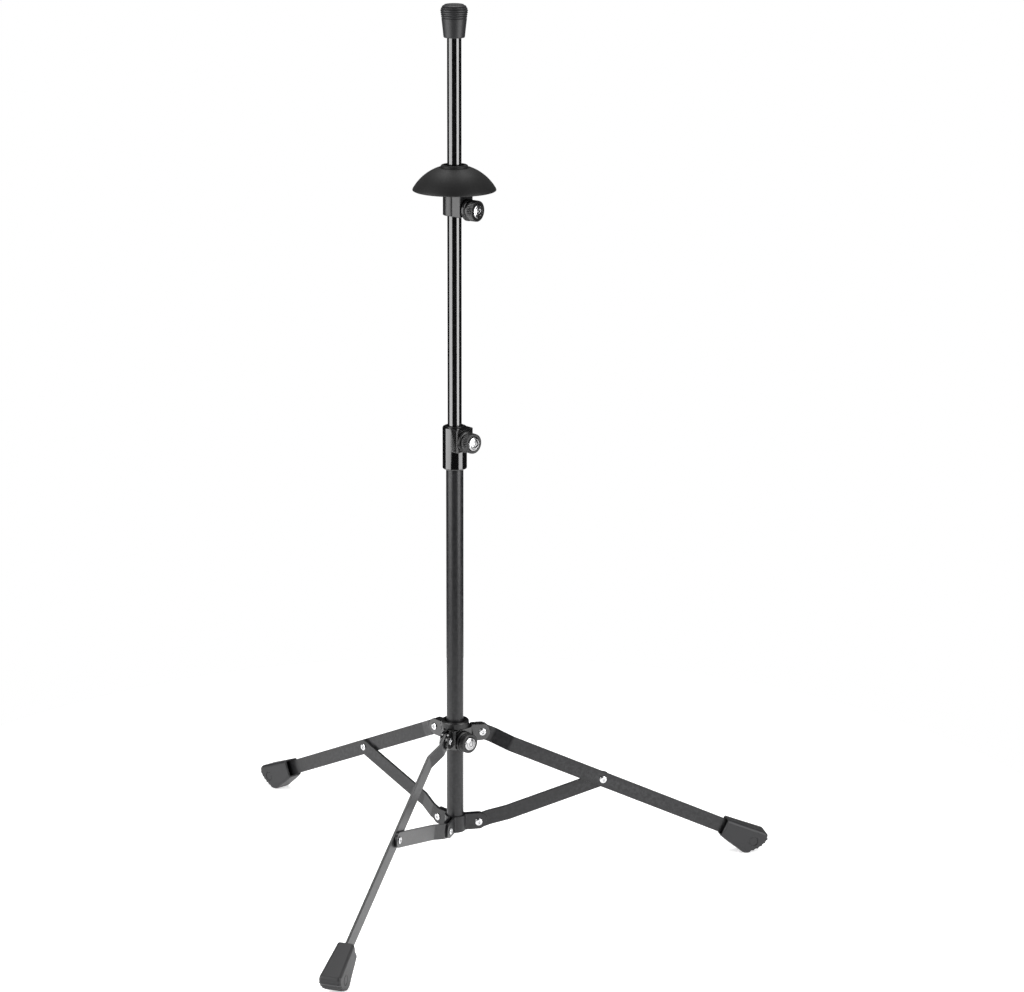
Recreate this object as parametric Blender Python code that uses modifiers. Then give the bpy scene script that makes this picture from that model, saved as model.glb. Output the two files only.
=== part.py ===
"""Folding stand for a brass instrument: column, height clutch, bell rest, rubber tip and folding base.

Metres, +Z up. Z = 0 is the floor at rest. The column stands a little off the origin, so that the
origin is under the middle of the whole stand. Leg directions are counted about the column's axis.
"""

import math

import bmesh
import bpy
from mathutils import Matrix, Vector

GAP = 0.0003

# Column
TUBE_R, TUBE_WALL = 0.0100, 0.0015
TUBE_BOTTOM, TUBE_TOP = 0.0510, 0.5380
ROD_R, ROD_WALL = 0.0080, 0.0012
ROD_BOTTOM, ROD_TOP = 0.3300, 1.0170

# Height clutch
CLUTCH_R, CLUTCH_BOTTOM, CLUTCH_TOP = 0.0140, 0.4950, 0.5450
BOSS_BOTTOM, BOSS_FACE, BOSS_WIDTH = 0.5175, 0.0185, 0.0237
BUSH_R = 0.0112
CLUTCH_SCREW_Z = 0.5300

# Bell rest
DOME_RIM_R, DOME_RIM_Z = 0.0472, 0.8172
DOME_SPHERE_R, DOME_CENTRE_Z = 0.0541, 0.7916
DOME_WALL = 0.0030
NECK_R, NECK_BASE_Z, NECK_TOP = 0.0156, 0.8434, 0.8456
HUB_R, HUB_BOTTOM, HUB_TOP = 0.0130, 0.7890, 0.8380
HUB_BOSS_FACE, HUB_BOSS_WIDTH, HUB_BOSS_TOP = 0.0175, 0.0228, 0.8130
HUB_SCREW_Z = 0.7965
BELL_TURN = math.radians(10)

# Rubber tip
TIP_BOTTOM, TIP_TOP = 0.9865, 1.0235
TIP_LOW_R, TIP_HIGH_R, TIP_FLAT_R = 0.0118, 0.0153, 0.0080

# Folding base: pivot A on the sliding collar, pivot B on the base plates, pivot C where leg and strut cross
A_R, A_Z = 0.0318, 0.1734
B_R, B_Z = 0.0278, 0.0597
LEG_SLOPE, LEG_TO_C = math.radians(25.2), 0.1614
C_R, C_Z = A_R + LEG_TO_C * math.cos(LEG_SLOPE), A_Z - LEG_TO_C * math.sin(LEG_SLOPE)
STRUT_SLOPE, STRUT_TO_C = math.atan2(C_Z - B_Z, C_R - B_R), math.hypot(C_Z - B_Z, C_R - B_R)
LEG_TO_MOUTH, LEG_INSERT = 0.3246, 0.0280
STRAP_HALF, STRAP_THICK = 0.0090, 0.0030
LEG_OFFSET, STRUT_OFFSET = -0.0085, -0.0051
LEG_JOG, STRUT_JOG = (0.0150, 0.0370), (0.0140, 0.0360)
LEG_ANGLES = [math.radians(a) for a in (-30, 90, 210)]

# Sliding collar
BLOCK_BOTTOM, BLOCK_TOP = 0.1576, 0.1814
BLOCK_FACE, BLOCK_HALF = 0.0152, 0.0130
EAR_INNER, EAR_THICK = 0.0019, 0.0033
EAR_BOTTOM, EAR_TOP, EAR_END = 0.1630, 0.1832, 0.0413
COLLAR_BUSH_R, COLLAR_RIM_R, COLLAR_RIM_TOP = 0.0119, 0.0166, 0.1897
COLLAR_SCREW_Z = 0.1662

# Base plates
PLATE_BOTTOM, PLATE_TOP, PLATE_THICK = 0.0510, 0.0706, 0.0020
PLATE_EAR_LATERAL, PLATE_BEND_R = 0.0029, 0.0030
PLATE_EAR_R = 0.0096

# Rivets and clamp screws
RIVET_SHANK_R, RIVET_HOLE_R, RIVET_HEAD_R, RIVET_HEAD_H = 0.0024, 0.0027, 0.0043, 0.0013
SCREW_R, SCREW_HOLE_R, PAD_THICK = 0.0030, 0.0033, 0.0016
KNOB_FLANGE_R, KNOB_WAIST_R, KNOB_DRUM_R = 0.0123, 0.0098, 0.0116
CAP_R, CAP_RECESS, CAP_HEIGHT = 0.0079, 0.0015, 0.0030

# Rubber feet: side outline along the strap and square to it, from the middle of the mouth
FOOT_OUTLINE = [
    (0.0025, 0.0112), (0.0300, 0.0126), (0.0540, 0.0138), (0.0588, 0.0108), (0.0602, 0.0050),
    (0.0575, -0.0025), (0.0545, -0.0080), (0.0300, -0.0182), (0.0120, -0.0140), (0.0025, -0.0112),
]
SOLE_R = (0.3520, 0.3595)
FOOT_MOUTH_HALF, FOOT_TOE_HALF = 0.0100, 0.0130

TOE_R = 0.3825
COLUMN_X = -LEG_OFFSET / 2
COLUMN_Y = -(TOE_R / 2 - (FOOT_TOE_HALF - LEG_OFFSET) * math.cos(math.radians(30))) / 2

FINISHES = {
    "satin_black": ((0.030, 0.030, 0.032), 0.42, 0.55),
    "gloss_black": ((0.012, 0.012, 0.013), 0.18, 0.60),
    "black_plastic": ((0.014, 0.014, 0.014), 0.45, 0.0),
    "black_rubber": ((0.022, 0.022, 0.023), 0.75, 0.0),
    "grey_rubber": ((0.040, 0.040, 0.042), 0.80, 0.0),
    "bright_steel": ((0.75, 0.75, 0.75), 0.20, 1.0),
    "zinc_steel": ((0.55, 0.56, 0.58), 0.35, 1.0),
}


def clear_scene():
    for obj in list(bpy.data.objects):
        bpy.data.objects.remove(obj, do_unlink=True)


def collection(name):
    made = bpy.data.collections.new(name)
    bpy.context.scene.collection.children.link(made)
    return made


def material(name):
    colour, roughness, metallic = FINISHES[name]
    made = bpy.data.materials.get(name) or bpy.data.materials.new(name)
    made.use_nodes = True
    shader = made.node_tree.nodes["Principled BSDF"]
    shader.inputs["Base Color"].default_value = (*colour, 1.0)
    shader.inputs["Roughness"].default_value = roughness
    shader.inputs["Metallic"].default_value = metallic
    return made


class Builder:
    """Makes objects in the parts collection, under one empty on the column's axis."""

    def __init__(self):
        self.parts = collection("trumpet_stand")
        self.cutters = collection("cutters")
        self.axis = bpy.data.objects.new("column_axis", None)
        self.axis.location = (COLUMN_X, COLUMN_Y, 0)
        self.parts.objects.link(self.axis)

    def add(self, name, mesh, finish, place=None):
        obj = bpy.data.objects.new(name, mesh)
        self.parts.objects.link(obj)
        obj.parent = self.axis
        if place is not None:
            obj.matrix_local = place
        if not mesh.materials:
            mesh.materials.append(material(finish))
        mesh.shade_smooth()
        mesh.set_sharp_from_angle(angle=math.radians(35))
        return obj

    def mesh_from(self, obj):
        """The evaluated mesh of a working object, which is then removed."""
        bpy.context.view_layer.update()
        graph = bpy.context.evaluated_depsgraph_get()
        mesh = bpy.data.meshes.new_from_object(obj.evaluated_get(graph))
        bpy.data.objects.remove(obj, do_unlink=True)
        return mesh

    def working(self, name, mesh):
        obj = bpy.data.objects.new(name, mesh)
        self.cutters.objects.link(obj)
        obj.hide_render = True
        obj.display_type = "WIRE"
        return obj

    def joined(self, name, mesh, tools, operation):
        """The mesh after a union with, or a cut by, each tool mesh in turn."""
        obj = self.working(name, mesh)
        helpers = []
        for index, tool in enumerate(tools):
            helper = self.working(f"{name}_tool_{index}", tool)
            helpers.append(helper)
            modifier = obj.modifiers.new(operation.lower(), "BOOLEAN")
            modifier.operation = operation
            modifier.solver = "EXACT"
            modifier.object = helper
        result = self.mesh_from(obj)
        for helper in helpers:
            bpy.data.objects.remove(helper, do_unlink=True)
        return result


def turned(build, name, profile, steps, closed=True):
    """A Screw of a profile of (radius, z), listed down the outer side first."""
    mesh = bpy.data.meshes.new(name)
    edges = [(i, i + 1) for i in range(len(profile) - 1)]
    if closed:
        edges.append((len(profile) - 1, 0))
    mesh.from_pydata([(r, 0, z) for r, z in profile], edges, [])
    obj = build.working(name, mesh)
    screw = obj.modifiers.new("screw", "SCREW")
    screw.axis = "Z"
    screw.steps = screw.render_steps = steps
    screw.use_merge_vertices = True
    screw.merge_threshold = 0.00001
    return build.mesh_from(obj)


def arc(centre, radii, start, end, steps):
    """Points on an ellipse's arc, angles in degrees."""
    angles = [math.radians(start + (end - start) * i / steps) for i in range(steps + 1)]
    return [(centre[0] + radii[0] * math.cos(a), centre[1] + radii[1] * math.sin(a)) for a in angles]


def prism(name, outline, depth_of, to_point):
    """A solid between two copies of an outline, at minus and plus depth_of(point)."""
    bm = bmesh.new()
    low = [bm.verts.new(to_point(p, -depth_of(p))) for p in outline]
    high = [bm.verts.new(to_point(p, depth_of(p))) for p in outline]
    bm.faces.new(low)
    bm.faces.new(list(reversed(high)))
    count = len(outline)
    for i in range(count):
        j = (i + 1) % count
        bm.faces.new((low[j], low[i], high[i], high[j]))
    bmesh.ops.recalc_face_normals(bm, faces=bm.faces)
    mesh = bpy.data.meshes.new(name)
    bm.to_mesh(mesh)
    bm.free()
    return mesh


def slab(name, outline, z_low, z_high):
    """A flat outline in plan, pulled up from z_low to z_high."""
    middle, half = (z_low + z_high) / 2, (z_high - z_low) / 2
    return prism(name, outline, lambda p: half, lambda p, d: (p[0], p[1], middle + d))


def rod_mesh(name, radius, length, steps=24, matrix=Matrix()):
    """A cylinder along local Z, centred, then moved by the matrix."""
    bm = bmesh.new()
    bmesh.ops.create_cone(bm, cap_ends=True, segments=steps, radius1=radius, radius2=radius, depth=length)
    bmesh.ops.transform(bm, matrix=matrix, verts=bm.verts)
    mesh = bpy.data.meshes.new(name)
    bm.to_mesh(mesh)
    bm.free()
    return mesh


def across(x, z):
    """The matrix that lays a cylinder along Y at (x, z)."""
    return Matrix.Translation((x, 0, z)) @ Matrix.Rotation(math.pi / 2, 4, "X")


def towards_knob(distance, z):
    """The matrix that points local Z along -Y from the column's axis, its origin at this distance."""
    return Matrix.Translation((0, -distance, z)) @ Matrix.Rotation(math.pi / 2, 4, "X")


def spin(angle):
    return Matrix.Rotation(angle, 4, "Z")


def bevelled(build, name, mesh, width, segments=2, angle=40):
    obj = build.working(name, mesh)
    bevel = obj.modifiers.new("bevel", "BEVEL")
    bevel.width = width
    bevel.segments = segments
    bevel.limit_method = "ANGLE"
    bevel.angle_limit = math.radians(angle)
    return build.mesh_from(obj)


def ribbon(build, name, path, halves, thickness):
    """A plate that follows a plan path, with a half height at each of its points."""
    bm = bmesh.new()
    low = [bm.verts.new((x, y, -h)) for (x, y), h in zip(path, halves)]
    high = [bm.verts.new((x, y, h)) for (x, y), h in zip(path, halves)]
    for i in range(len(path) - 1):
        bm.faces.new((low[i], low[i + 1], high[i + 1], high[i]))
    mesh = bpy.data.meshes.new(name)
    bm.to_mesh(mesh)
    bm.free()
    obj = build.working(name, mesh)
    solid = obj.modifiers.new("solid", "SOLIDIFY")
    solid.thickness = thickness
    solid.offset = 0
    return build.mesh_from(obj)


def smooth_step(t):
    t = min(max(t, 0.0), 1.0)
    return t * t * (3 - 2 * t)


def rounded_half(s, start, end, half):
    """The half height of a strap with round ends whose centres are half inside its ends."""
    over = max(start + half - s, s - (end - half), 0.0)
    return math.sqrt(max(half * half - over * over, 0.0))


def strap_stations(start, end, jog, half):
    """Distances along a strap: close together at its round ends and in its jog."""
    turns = [math.radians(a) for a in (10, 36, 62, 86)]
    ends = [half * (1 - math.cos(a)) for a in turns]
    jog_steps = 6
    middle = [jog[0] + (jog[1] - jog[0]) * i / jog_steps for i in range(jog_steps + 1)]
    return sorted([start + e for e in ends] + middle + [end - e for e in ends])


def strap(build, name, end, jog, offset, holes):
    """A flat strap on edge, from its first rivet at the origin along +X, stepping sideways to offset."""
    stations = strap_stations(-STRAP_HALF, end, jog, STRAP_HALF)
    path = [(s, offset * smooth_step((s - jog[0]) / (jog[1] - jog[0]))) for s in stations]
    halves = [rounded_half(s, -STRAP_HALF, end, STRAP_HALF) for s in stations]
    mesh = ribbon(build, name, path, halves, STRAP_THICK)
    cutters = [rod_mesh("hole", RIVET_HOLE_R, 0.05, 12, across(x, 0)) for x in holes]
    return build.joined(name, mesh, cutters, "DIFFERENCE")


def rivet(build, name, inner_low, inner_high, head_low=True, head_high=True):
    """A rivet along local Z whose head undersides are at inner_low and inner_high."""
    bevel = RIVET_HEAD_H * 0.55
    profile = []
    if head_high:
        profile += [(0, inner_high + RIVET_HEAD_H), (RIVET_HEAD_R * 0.60, inner_high + RIVET_HEAD_H),
                    (RIVET_HEAD_R, inner_high + RIVET_HEAD_H - bevel), (RIVET_HEAD_R, inner_high)]
    else:
        profile += [(0, inner_high)]
    profile += [(RIVET_SHANK_R, inner_high), (RIVET_SHANK_R, inner_low)]
    if head_low:
        profile += [(RIVET_HEAD_R, inner_low), (RIVET_HEAD_R, inner_low - RIVET_HEAD_H + bevel),
                    (RIVET_HEAD_R * 0.60, inner_low - RIVET_HEAD_H), (0, inner_low - RIVET_HEAD_H)]
    else:
        profile += [(0, inner_low)]
    return turned(build, name, profile, 12, closed=False)


def leg_frame(angle, radius, z, slope):
    """A frame at a pivot: X along the strap, Y sideways, Z square to both."""
    return spin(angle) @ Matrix.Translation((radius, 0, z)) @ Matrix.Rotation(slope, 4, "Y")


def pin_frame(angle, radius, z):
    """A frame at a pivot with Z along the pivot's axis."""
    return spin(angle) @ Matrix.Translation((radius, 0, z)) @ Matrix.Rotation(-math.pi / 2, 4, "X")


def build_column(build):
    inner = TUBE_R - TUBE_WALL
    tube = turned(build, "lower_tube", [(TUBE_R, TUBE_TOP), (TUBE_R, TUBE_BOTTOM),
                                        (inner, TUBE_BOTTOM), (inner, TUBE_TOP)], 28)
    hole = rod_mesh("hole", SCREW_HOLE_R, 0.02, 16, towards_knob(0.010, CLUTCH_SCREW_Z))
    tube = build.joined("lower_tube", tube, [hole], "DIFFERENCE")
    build.add("lower_tube", tube, "satin_black")

    plug_r, lip = inner - GAP, 0.0012
    low = TUBE_BOTTOM - GAP
    plug = [(0, TUBE_BOTTOM + 0.010), (plug_r - 0.0008, TUBE_BOTTOM + 0.010), (plug_r, TUBE_BOTTOM + 0.008),
            (plug_r, low), (TUBE_R - 0.0004, low), (TUBE_R - 0.0008, low - lip), (0, low - lip)]
    build.add("end_plug", turned(build, "end_plug", plug, 20, closed=False), "black_plastic")

    wall = ROD_R - ROD_WALL
    rod = [(ROD_R, ROD_TOP), (ROD_R, ROD_BOTTOM), (wall, ROD_BOTTOM), (wall, ROD_TOP)]
    build.add("upper_rod", turned(build, "upper_rod", rod, 28), "gloss_black")

    guide_top, guide_low = ROD_BOTTOM - GAP, ROD_BOTTOM - 0.016
    guide_r = inner - GAP
    guide = [(wall - GAP, ROD_BOTTOM + 0.010), (wall - GAP, guide_top), (guide_r, guide_top),
             (guide_r, guide_low + 0.001), (guide_r - 0.001, guide_low),
             (wall - 0.0020, guide_low), (wall - 0.0020, ROD_BOTTOM + 0.010)]
    build.add("rod_guide", turned(build, "rod_guide", guide, 20), "black_plastic")


def build_clutch(build):
    bore = TUBE_R + GAP
    seat = TUBE_TOP + GAP
    fillet = [(CLUTCH_R, CLUTCH_BOTTOM + 0.0050), (CLUTCH_R - 0.0006, CLUTCH_BOTTOM + 0.0026),
              (CLUTCH_R - 0.0020, CLUTCH_BOTTOM + 0.0008), (CLUTCH_R - 0.0035, CLUTCH_BOTTOM)]
    barrel = [(0, CLUTCH_TOP), (CLUTCH_R - 0.0014, CLUTCH_TOP), (CLUTCH_R - 0.0004, CLUTCH_TOP - 0.0006),
              (CLUTCH_R, CLUTCH_TOP - 0.0018)] + fillet + [(0, CLUTCH_BOTTOM)]
    sleeve = turned(build, "clutch_sleeve", barrel, 28, closed=False)
    half = BOSS_WIDTH / 2
    outline = [(-half, -0.0050), (-half, -BOSS_FACE), (half, -BOSS_FACE), (half, -0.0050)]
    boss = bevelled(build, "boss", slab("boss", outline, BOSS_BOTTOM, CLUTCH_TOP - 0.0004), 0.0008, 1)
    sleeve = build.joined("clutch_sleeve", sleeve, [boss], "UNION")
    cuts = [
        rod_mesh("bore", bore, seat - CLUTCH_BOTTOM + 0.02, 28,
                 Matrix.Translation((0, 0, (seat + CLUTCH_BOTTOM - 0.02) / 2))),
        rod_mesh("seat", BUSH_R + GAP, 0.02, 28, Matrix.Translation((0, 0, seat - 0.0002 + 0.01))),
        rod_mesh("hole", SCREW_HOLE_R, 0.02, 16, towards_knob(0.016, CLUTCH_SCREW_Z)),
    ]
    sleeve = build.joined("clutch_sleeve", sleeve, cuts, "DIFFERENCE")
    build.add("clutch_sleeve", sleeve, "gloss_black")

    low, top = seat + 2 * GAP, CLUTCH_TOP + 0.0008
    bush = [(BUSH_R - 0.0008, top), (BUSH_R, top - 0.0008), (BUSH_R, low), (ROD_R + GAP, low),
            (ROD_R + GAP, top - 0.0015), (ROD_R + 0.0013, top)]
    build.add("clutch_bush", turned(build, "clutch_bush", bush, 24), "black_plastic")


def build_clamp(build, prefix, z, rod_radius, face, stand_off, length, turn=0.0):
    """Pad, threaded shank, ribbed knob and bright cap, in a line along the clamp's axis."""
    pad_start = rod_radius + GAP
    pad = rod_mesh("pad", SCREW_R, PAD_THICK, 14, Matrix.Translation((0, 0, PAD_THICK / 2)))
    build.add(f"{prefix}_pad", pad, "black_plastic", spin(turn) @ towards_knob(pad_start, z))

    back = face + stand_off
    screw_start = pad_start + PAD_THICK + GAP
    screw_length = back + length - 0.0035 - screw_start
    screw = rod_mesh("screw", SCREW_R, screw_length, 14, Matrix.Translation((0, 0, screw_length / 2)))
    build.add(f"{prefix}_screw", screw, "zinc_steel", spin(turn) @ towards_knob(screw_start, z))

    bore, floor = SCREW_R + GAP, length - 0.0030
    recess_floor = length - CAP_RECESS
    knob = [(KNOB_DRUM_R - 0.0012, length), (KNOB_DRUM_R, length - 0.0010),
            (KNOB_DRUM_R, length * 0.45), (KNOB_WAIST_R, length * 0.40), (KNOB_WAIST_R, length * 0.27),
            (KNOB_FLANGE_R, length * 0.20), (KNOB_FLANGE_R, 0.0008), (KNOB_FLANGE_R - 0.0008, 0.0),
            (bore, 0.0), (bore, floor), (0, floor)]
    mesh = turned(build, f"{prefix}_knob", [(0, recess_floor), (CAP_R + GAP, recess_floor),
                                            (CAP_R + GAP, length)] + knob, 20, closed=False)
    build.add(f"{prefix}_knob", mesh, "black_plastic", spin(turn) @ towards_knob(back, z))

    low = recess_floor + GAP
    cap = [(0, low + CAP_HEIGHT)] + [
        (CAP_R * math.sin(math.radians(a)), low + 0.0010 + (CAP_HEIGHT - 0.0010) * math.cos(math.radians(a)))
        for a in (40, 70, 90)] + [(CAP_R, low), (0, low)]
    mesh = turned(build, f"{prefix}_cap", cap, 20, closed=False)
    build.add(f"{prefix}_cap", mesh, "bright_steel", spin(turn) @ towards_knob(back, z))


def build_bell_rest(build):
    outer = [(r, DOME_CENTRE_Z + math.sqrt(DOME_SPHERE_R ** 2 - r * r))
             for r in [NECK_R + (DOME_RIM_R - 0.0004 - NECK_R) * i / 5 for i in range(6)]]
    inner_r = DOME_SPHERE_R - DOME_WALL
    rims = [DOME_RIM_R - 0.0028 - (DOME_RIM_R - 0.0028 - 0.0160) * i / 4 for i in range(5)]
    inner = [(r, DOME_CENTRE_Z + math.sqrt(inner_r ** 2 - r * r)) for r in rims]
    shelf = HUB_TOP + GAP
    bore = ROD_R + 0.0005
    profile = [(0.0125, NECK_TOP), (0.0146, NECK_TOP - 0.0008)] + outer
    profile += [(DOME_RIM_R, DOME_RIM_Z), (DOME_RIM_R - 0.0010, DOME_RIM_Z - 0.0010)] + inner
    profile += [(HUB_R + GAP, inner[-1][1] - 0.0006), (HUB_R + GAP, shelf), (bore, shelf),
                (bore, NECK_TOP - 0.0030), (0.0115, NECK_TOP - 0.0008)]
    build.add("bell_dome", turned(build, "bell_dome", profile, 28), "black_rubber", spin(BELL_TURN))

    body = [(0, HUB_TOP), (HUB_R - 0.0008, HUB_TOP), (HUB_R, HUB_TOP - 0.0008), (HUB_R, HUB_BOTTOM + 0.0008),
            (HUB_R - 0.0008, HUB_BOTTOM), (0, HUB_BOTTOM)]
    hub = turned(build, "bell_hub", body, 24, closed=False)
    half = HUB_BOSS_WIDTH / 2
    outline = [(-half, -0.0050), (-half, -HUB_BOSS_FACE), (half, -HUB_BOSS_FACE), (half, -0.0050)]
    boss = bevelled(build, "boss", slab("boss", outline, HUB_BOTTOM - 0.0005, HUB_BOSS_TOP), 0.0008, 1)
    hub = build.joined("bell_hub", hub, [boss], "UNION")
    cuts = [rod_mesh("bore", ROD_R + GAP, 0.10, 24, Matrix.Translation((0, 0, HUB_BOTTOM))),
            rod_mesh("hole", SCREW_HOLE_R, 0.02, 16, towards_knob(0.016, HUB_SCREW_Z))]
    hub = build.joined("bell_hub", hub, cuts, "DIFFERENCE")
    build.add("bell_hub", hub, "black_plastic", spin(BELL_TURN))


def build_tip(build):
    crown = arc((TIP_FLAT_R, TIP_TOP - 0.0080), (TIP_HIGH_R - TIP_FLAT_R, 0.0080), 90, 0, 4)
    bore, roof = ROD_R + GAP, ROD_TOP + GAP
    profile = [(0, TIP_TOP)] + crown + [
        (TIP_HIGH_R - 0.0004, TIP_TOP - 0.0170), (TIP_LOW_R, TIP_BOTTOM + 0.0015),
        (TIP_LOW_R - 0.0015, TIP_BOTTOM), (bore, TIP_BOTTOM), (bore, roof), (0, roof)]
    build.add("tip", turned(build, "tip", profile, 24, closed=False), "grey_rubber")


def plate_path():
    """Plan path of a base plate: one ear, round the tube, the other ear, for legs at 0 and 120 degrees."""
    wrap = TUBE_R + GAP + PLATE_THICK / 2
    bend = PLATE_EAR_LATERAL + PLATE_BEND_R
    bend_x = math.sqrt((wrap + PLATE_BEND_R) ** 2 - bend ** 2)
    meet = math.degrees(math.atan2(bend, bend_x))
    reach = [PLATE_EAR_R * math.sin(math.radians(a)) for a in (80, 55, 28, 0)]
    ear = [(B_R + x, PLATE_EAR_LATERAL) for x in reach] + [(B_R - 0.009, PLATE_EAR_LATERAL)]
    turn = arc((bend_x, bend), (PLATE_BEND_R, PLATE_BEND_R), 270, 180 + meet, 3)
    first = ear + turn
    round_tube = arc((0, 0), (wrap, wrap), meet, 60, 3)[1:]
    half_path = first + round_tube
    mirror = []
    for x, y in reversed(half_path[:-1]):
        angle, length = math.radians(120) - math.atan2(y, x), math.hypot(x, y)
        mirror.append((length * math.cos(angle), length * math.sin(angle)))
    return half_path + mirror, half_path


def build_base_plates(build):
    path, half_path = plate_path()
    full = (PLATE_TOP - PLATE_BOTTOM) / 2
    halves = []
    for x, _ in half_path:
        over = max(x - B_R, 0.0)
        halves.append(full * math.sqrt(max(1 - (over / PLATE_EAR_R) ** 2, 0.0)))
    halves = halves + list(reversed(halves[:-1]))
    mesh = ribbon(build, "base_plate", path, halves, PLATE_THICK)
    mesh.transform(Matrix.Translation((0, 0, (PLATE_TOP + PLATE_BOTTOM) / 2)))
    cuts = [rod_mesh("hole", RIVET_HOLE_R, 0.02, 12, spin(a) @ across(B_R, B_Z))
            for a in (0, math.radians(120))]
    mesh = build.joined("base_plate", mesh, cuts, "DIFFERENCE")
    outer = PLATE_EAR_LATERAL + PLATE_THICK / 2 + GAP
    pin = rivet(build, "base_rivet", -outer, outer)
    for index, angle in enumerate(LEG_ANGLES, 1):
        build.add(f"base_plate_{index}", mesh, "satin_black", spin(angle))
        build.add(f"base_rivet_{index}", pin, "bright_steel", pin_frame(angle, B_R, B_Z))


def ear_mesh(lateral):
    """One ear of the sliding collar, for a leg along +X."""
    middle_z, half_z = (EAR_TOP + EAR_BOTTOM) / 2, (EAR_TOP - EAR_BOTTOM) / 2
    radius_x = 0.0105
    outline = [(0.0130, EAR_BOTTOM)] + arc((EAR_END - radius_x, middle_z), (radius_x, half_z), -90, 90, 8)
    outline += [(0.0190, EAR_TOP), (0.0178, BLOCK_TOP - 0.0004), (0.0130, BLOCK_TOP - 0.0004)]
    return prism("ear", outline, lambda p: EAR_THICK / 2, lambda p, d: (p[0], lateral + d, p[1]))


def build_leg_collar(build):
    faces = [math.radians(a) for a in (-90, 30, 150)]
    outline = []
    for a in faces:
        for side in (-BLOCK_HALF, BLOCK_HALF):
            outline.append((BLOCK_FACE * math.cos(a) - side * math.sin(a),
                            BLOCK_FACE * math.sin(a) + side * math.cos(a)))
    block = bevelled(build, "block", slab("block", outline, BLOCK_BOTTOM, BLOCK_TOP), 0.0006, 1)
    middle = EAR_INNER + EAR_THICK / 2
    ears = []
    for angle in LEG_ANGLES:
        for lateral in (-middle, middle):
            ear = ear_mesh(lateral)
            ear.transform(spin(angle))
            ears.append(ear)
    block = build.joined("leg_collar", block, ears, "UNION")
    bore = COLLAR_BUSH_R + GAP
    cuts = [rod_mesh("bore", bore, 0.10, 24, Matrix.Translation((0, 0, A_Z))),
            rod_mesh("hole", SCREW_HOLE_R, 0.02, 16, towards_knob(0.016, COLLAR_SCREW_Z))]
    cuts += [rod_mesh("pin", RIVET_HOLE_R, 0.02, 12, spin(a) @ across(A_R, A_Z)) for a in LEG_ANGLES]
    block = build.joined("leg_collar", block, cuts, "DIFFERENCE")
    build.add("leg_collar", block, "gloss_black")

    low, shelf = BLOCK_BOTTOM + 0.001, BLOCK_TOP + GAP
    bush = [(0.0134, COLLAR_RIM_TOP), (0.0152, COLLAR_RIM_TOP - 0.0004),
            (COLLAR_RIM_R, COLLAR_RIM_TOP - 0.0022), (COLLAR_RIM_R, shelf), (COLLAR_BUSH_R, shelf),
            (COLLAR_BUSH_R, low), (TUBE_R + GAP, low), (TUBE_R + GAP, COLLAR_RIM_TOP - 0.0044),
            (0.0122, COLLAR_RIM_TOP - 0.0010)]
    mesh = turned(build, "collar_bush", bush, 24)
    hole = rod_mesh("hole", SCREW_HOLE_R, 0.008, 16, towards_knob(0.012, COLLAR_SCREW_Z))
    mesh = build.joined("collar_bush", mesh, [hole], "DIFFERENCE")
    build.add("collar_bush", mesh, "black_plastic")

    outer = EAR_INNER + EAR_THICK + GAP
    pin = rivet(build, "collar_rivet", -outer, outer)
    for index, angle in enumerate(LEG_ANGLES, 1):
        build.add(f"collar_rivet_{index}", pin, "bright_steel", pin_frame(angle, A_R, A_Z))


def foot_mesh(build):
    """A rubber foot in the leg's frame, with a pocket for the strap's end and a flat sole on the floor."""
    cos, sin = math.cos(LEG_SLOPE), math.sin(LEG_SLOPE)
    mouth_r, mouth_z = A_R + LEG_TO_MOUTH * cos, A_Z - LEG_TO_MOUTH * sin
    sole = [((r - mouth_r) * cos + mouth_z * sin, (r - mouth_r) * sin - mouth_z * cos) for r in SOLE_R[::-1]]
    outline = FOOT_OUTLINE[:7] + sole + FOOT_OUTLINE[7:]
    length = 0.062

    def half_width(point):
        return FOOT_MOUTH_HALF + (FOOT_TOE_HALF - FOOT_MOUTH_HALF) * point[0] / length

    body = prism("foot", outline, half_width, lambda p, d: (LEG_TO_MOUTH + p[0], LEG_OFFSET + d, p[1]))
    body = bevelled(build, "foot", body, 0.0016, angle=25)
    deep = LEG_INSERT + GAP
    half_y, half_z = STRAP_THICK / 2 + GAP, STRAP_HALF + GAP
    corner = [(-0.01, -half_z), (deep, -half_z), (deep, half_z), (-0.01, half_z)]
    pocket = prism("pocket", corner, lambda p: half_y, lambda p, d: (LEG_TO_MOUTH + p[0], LEG_OFFSET + d, p[1]))
    return build.joined("foot", body, [pocket], "DIFFERENCE")


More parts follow.
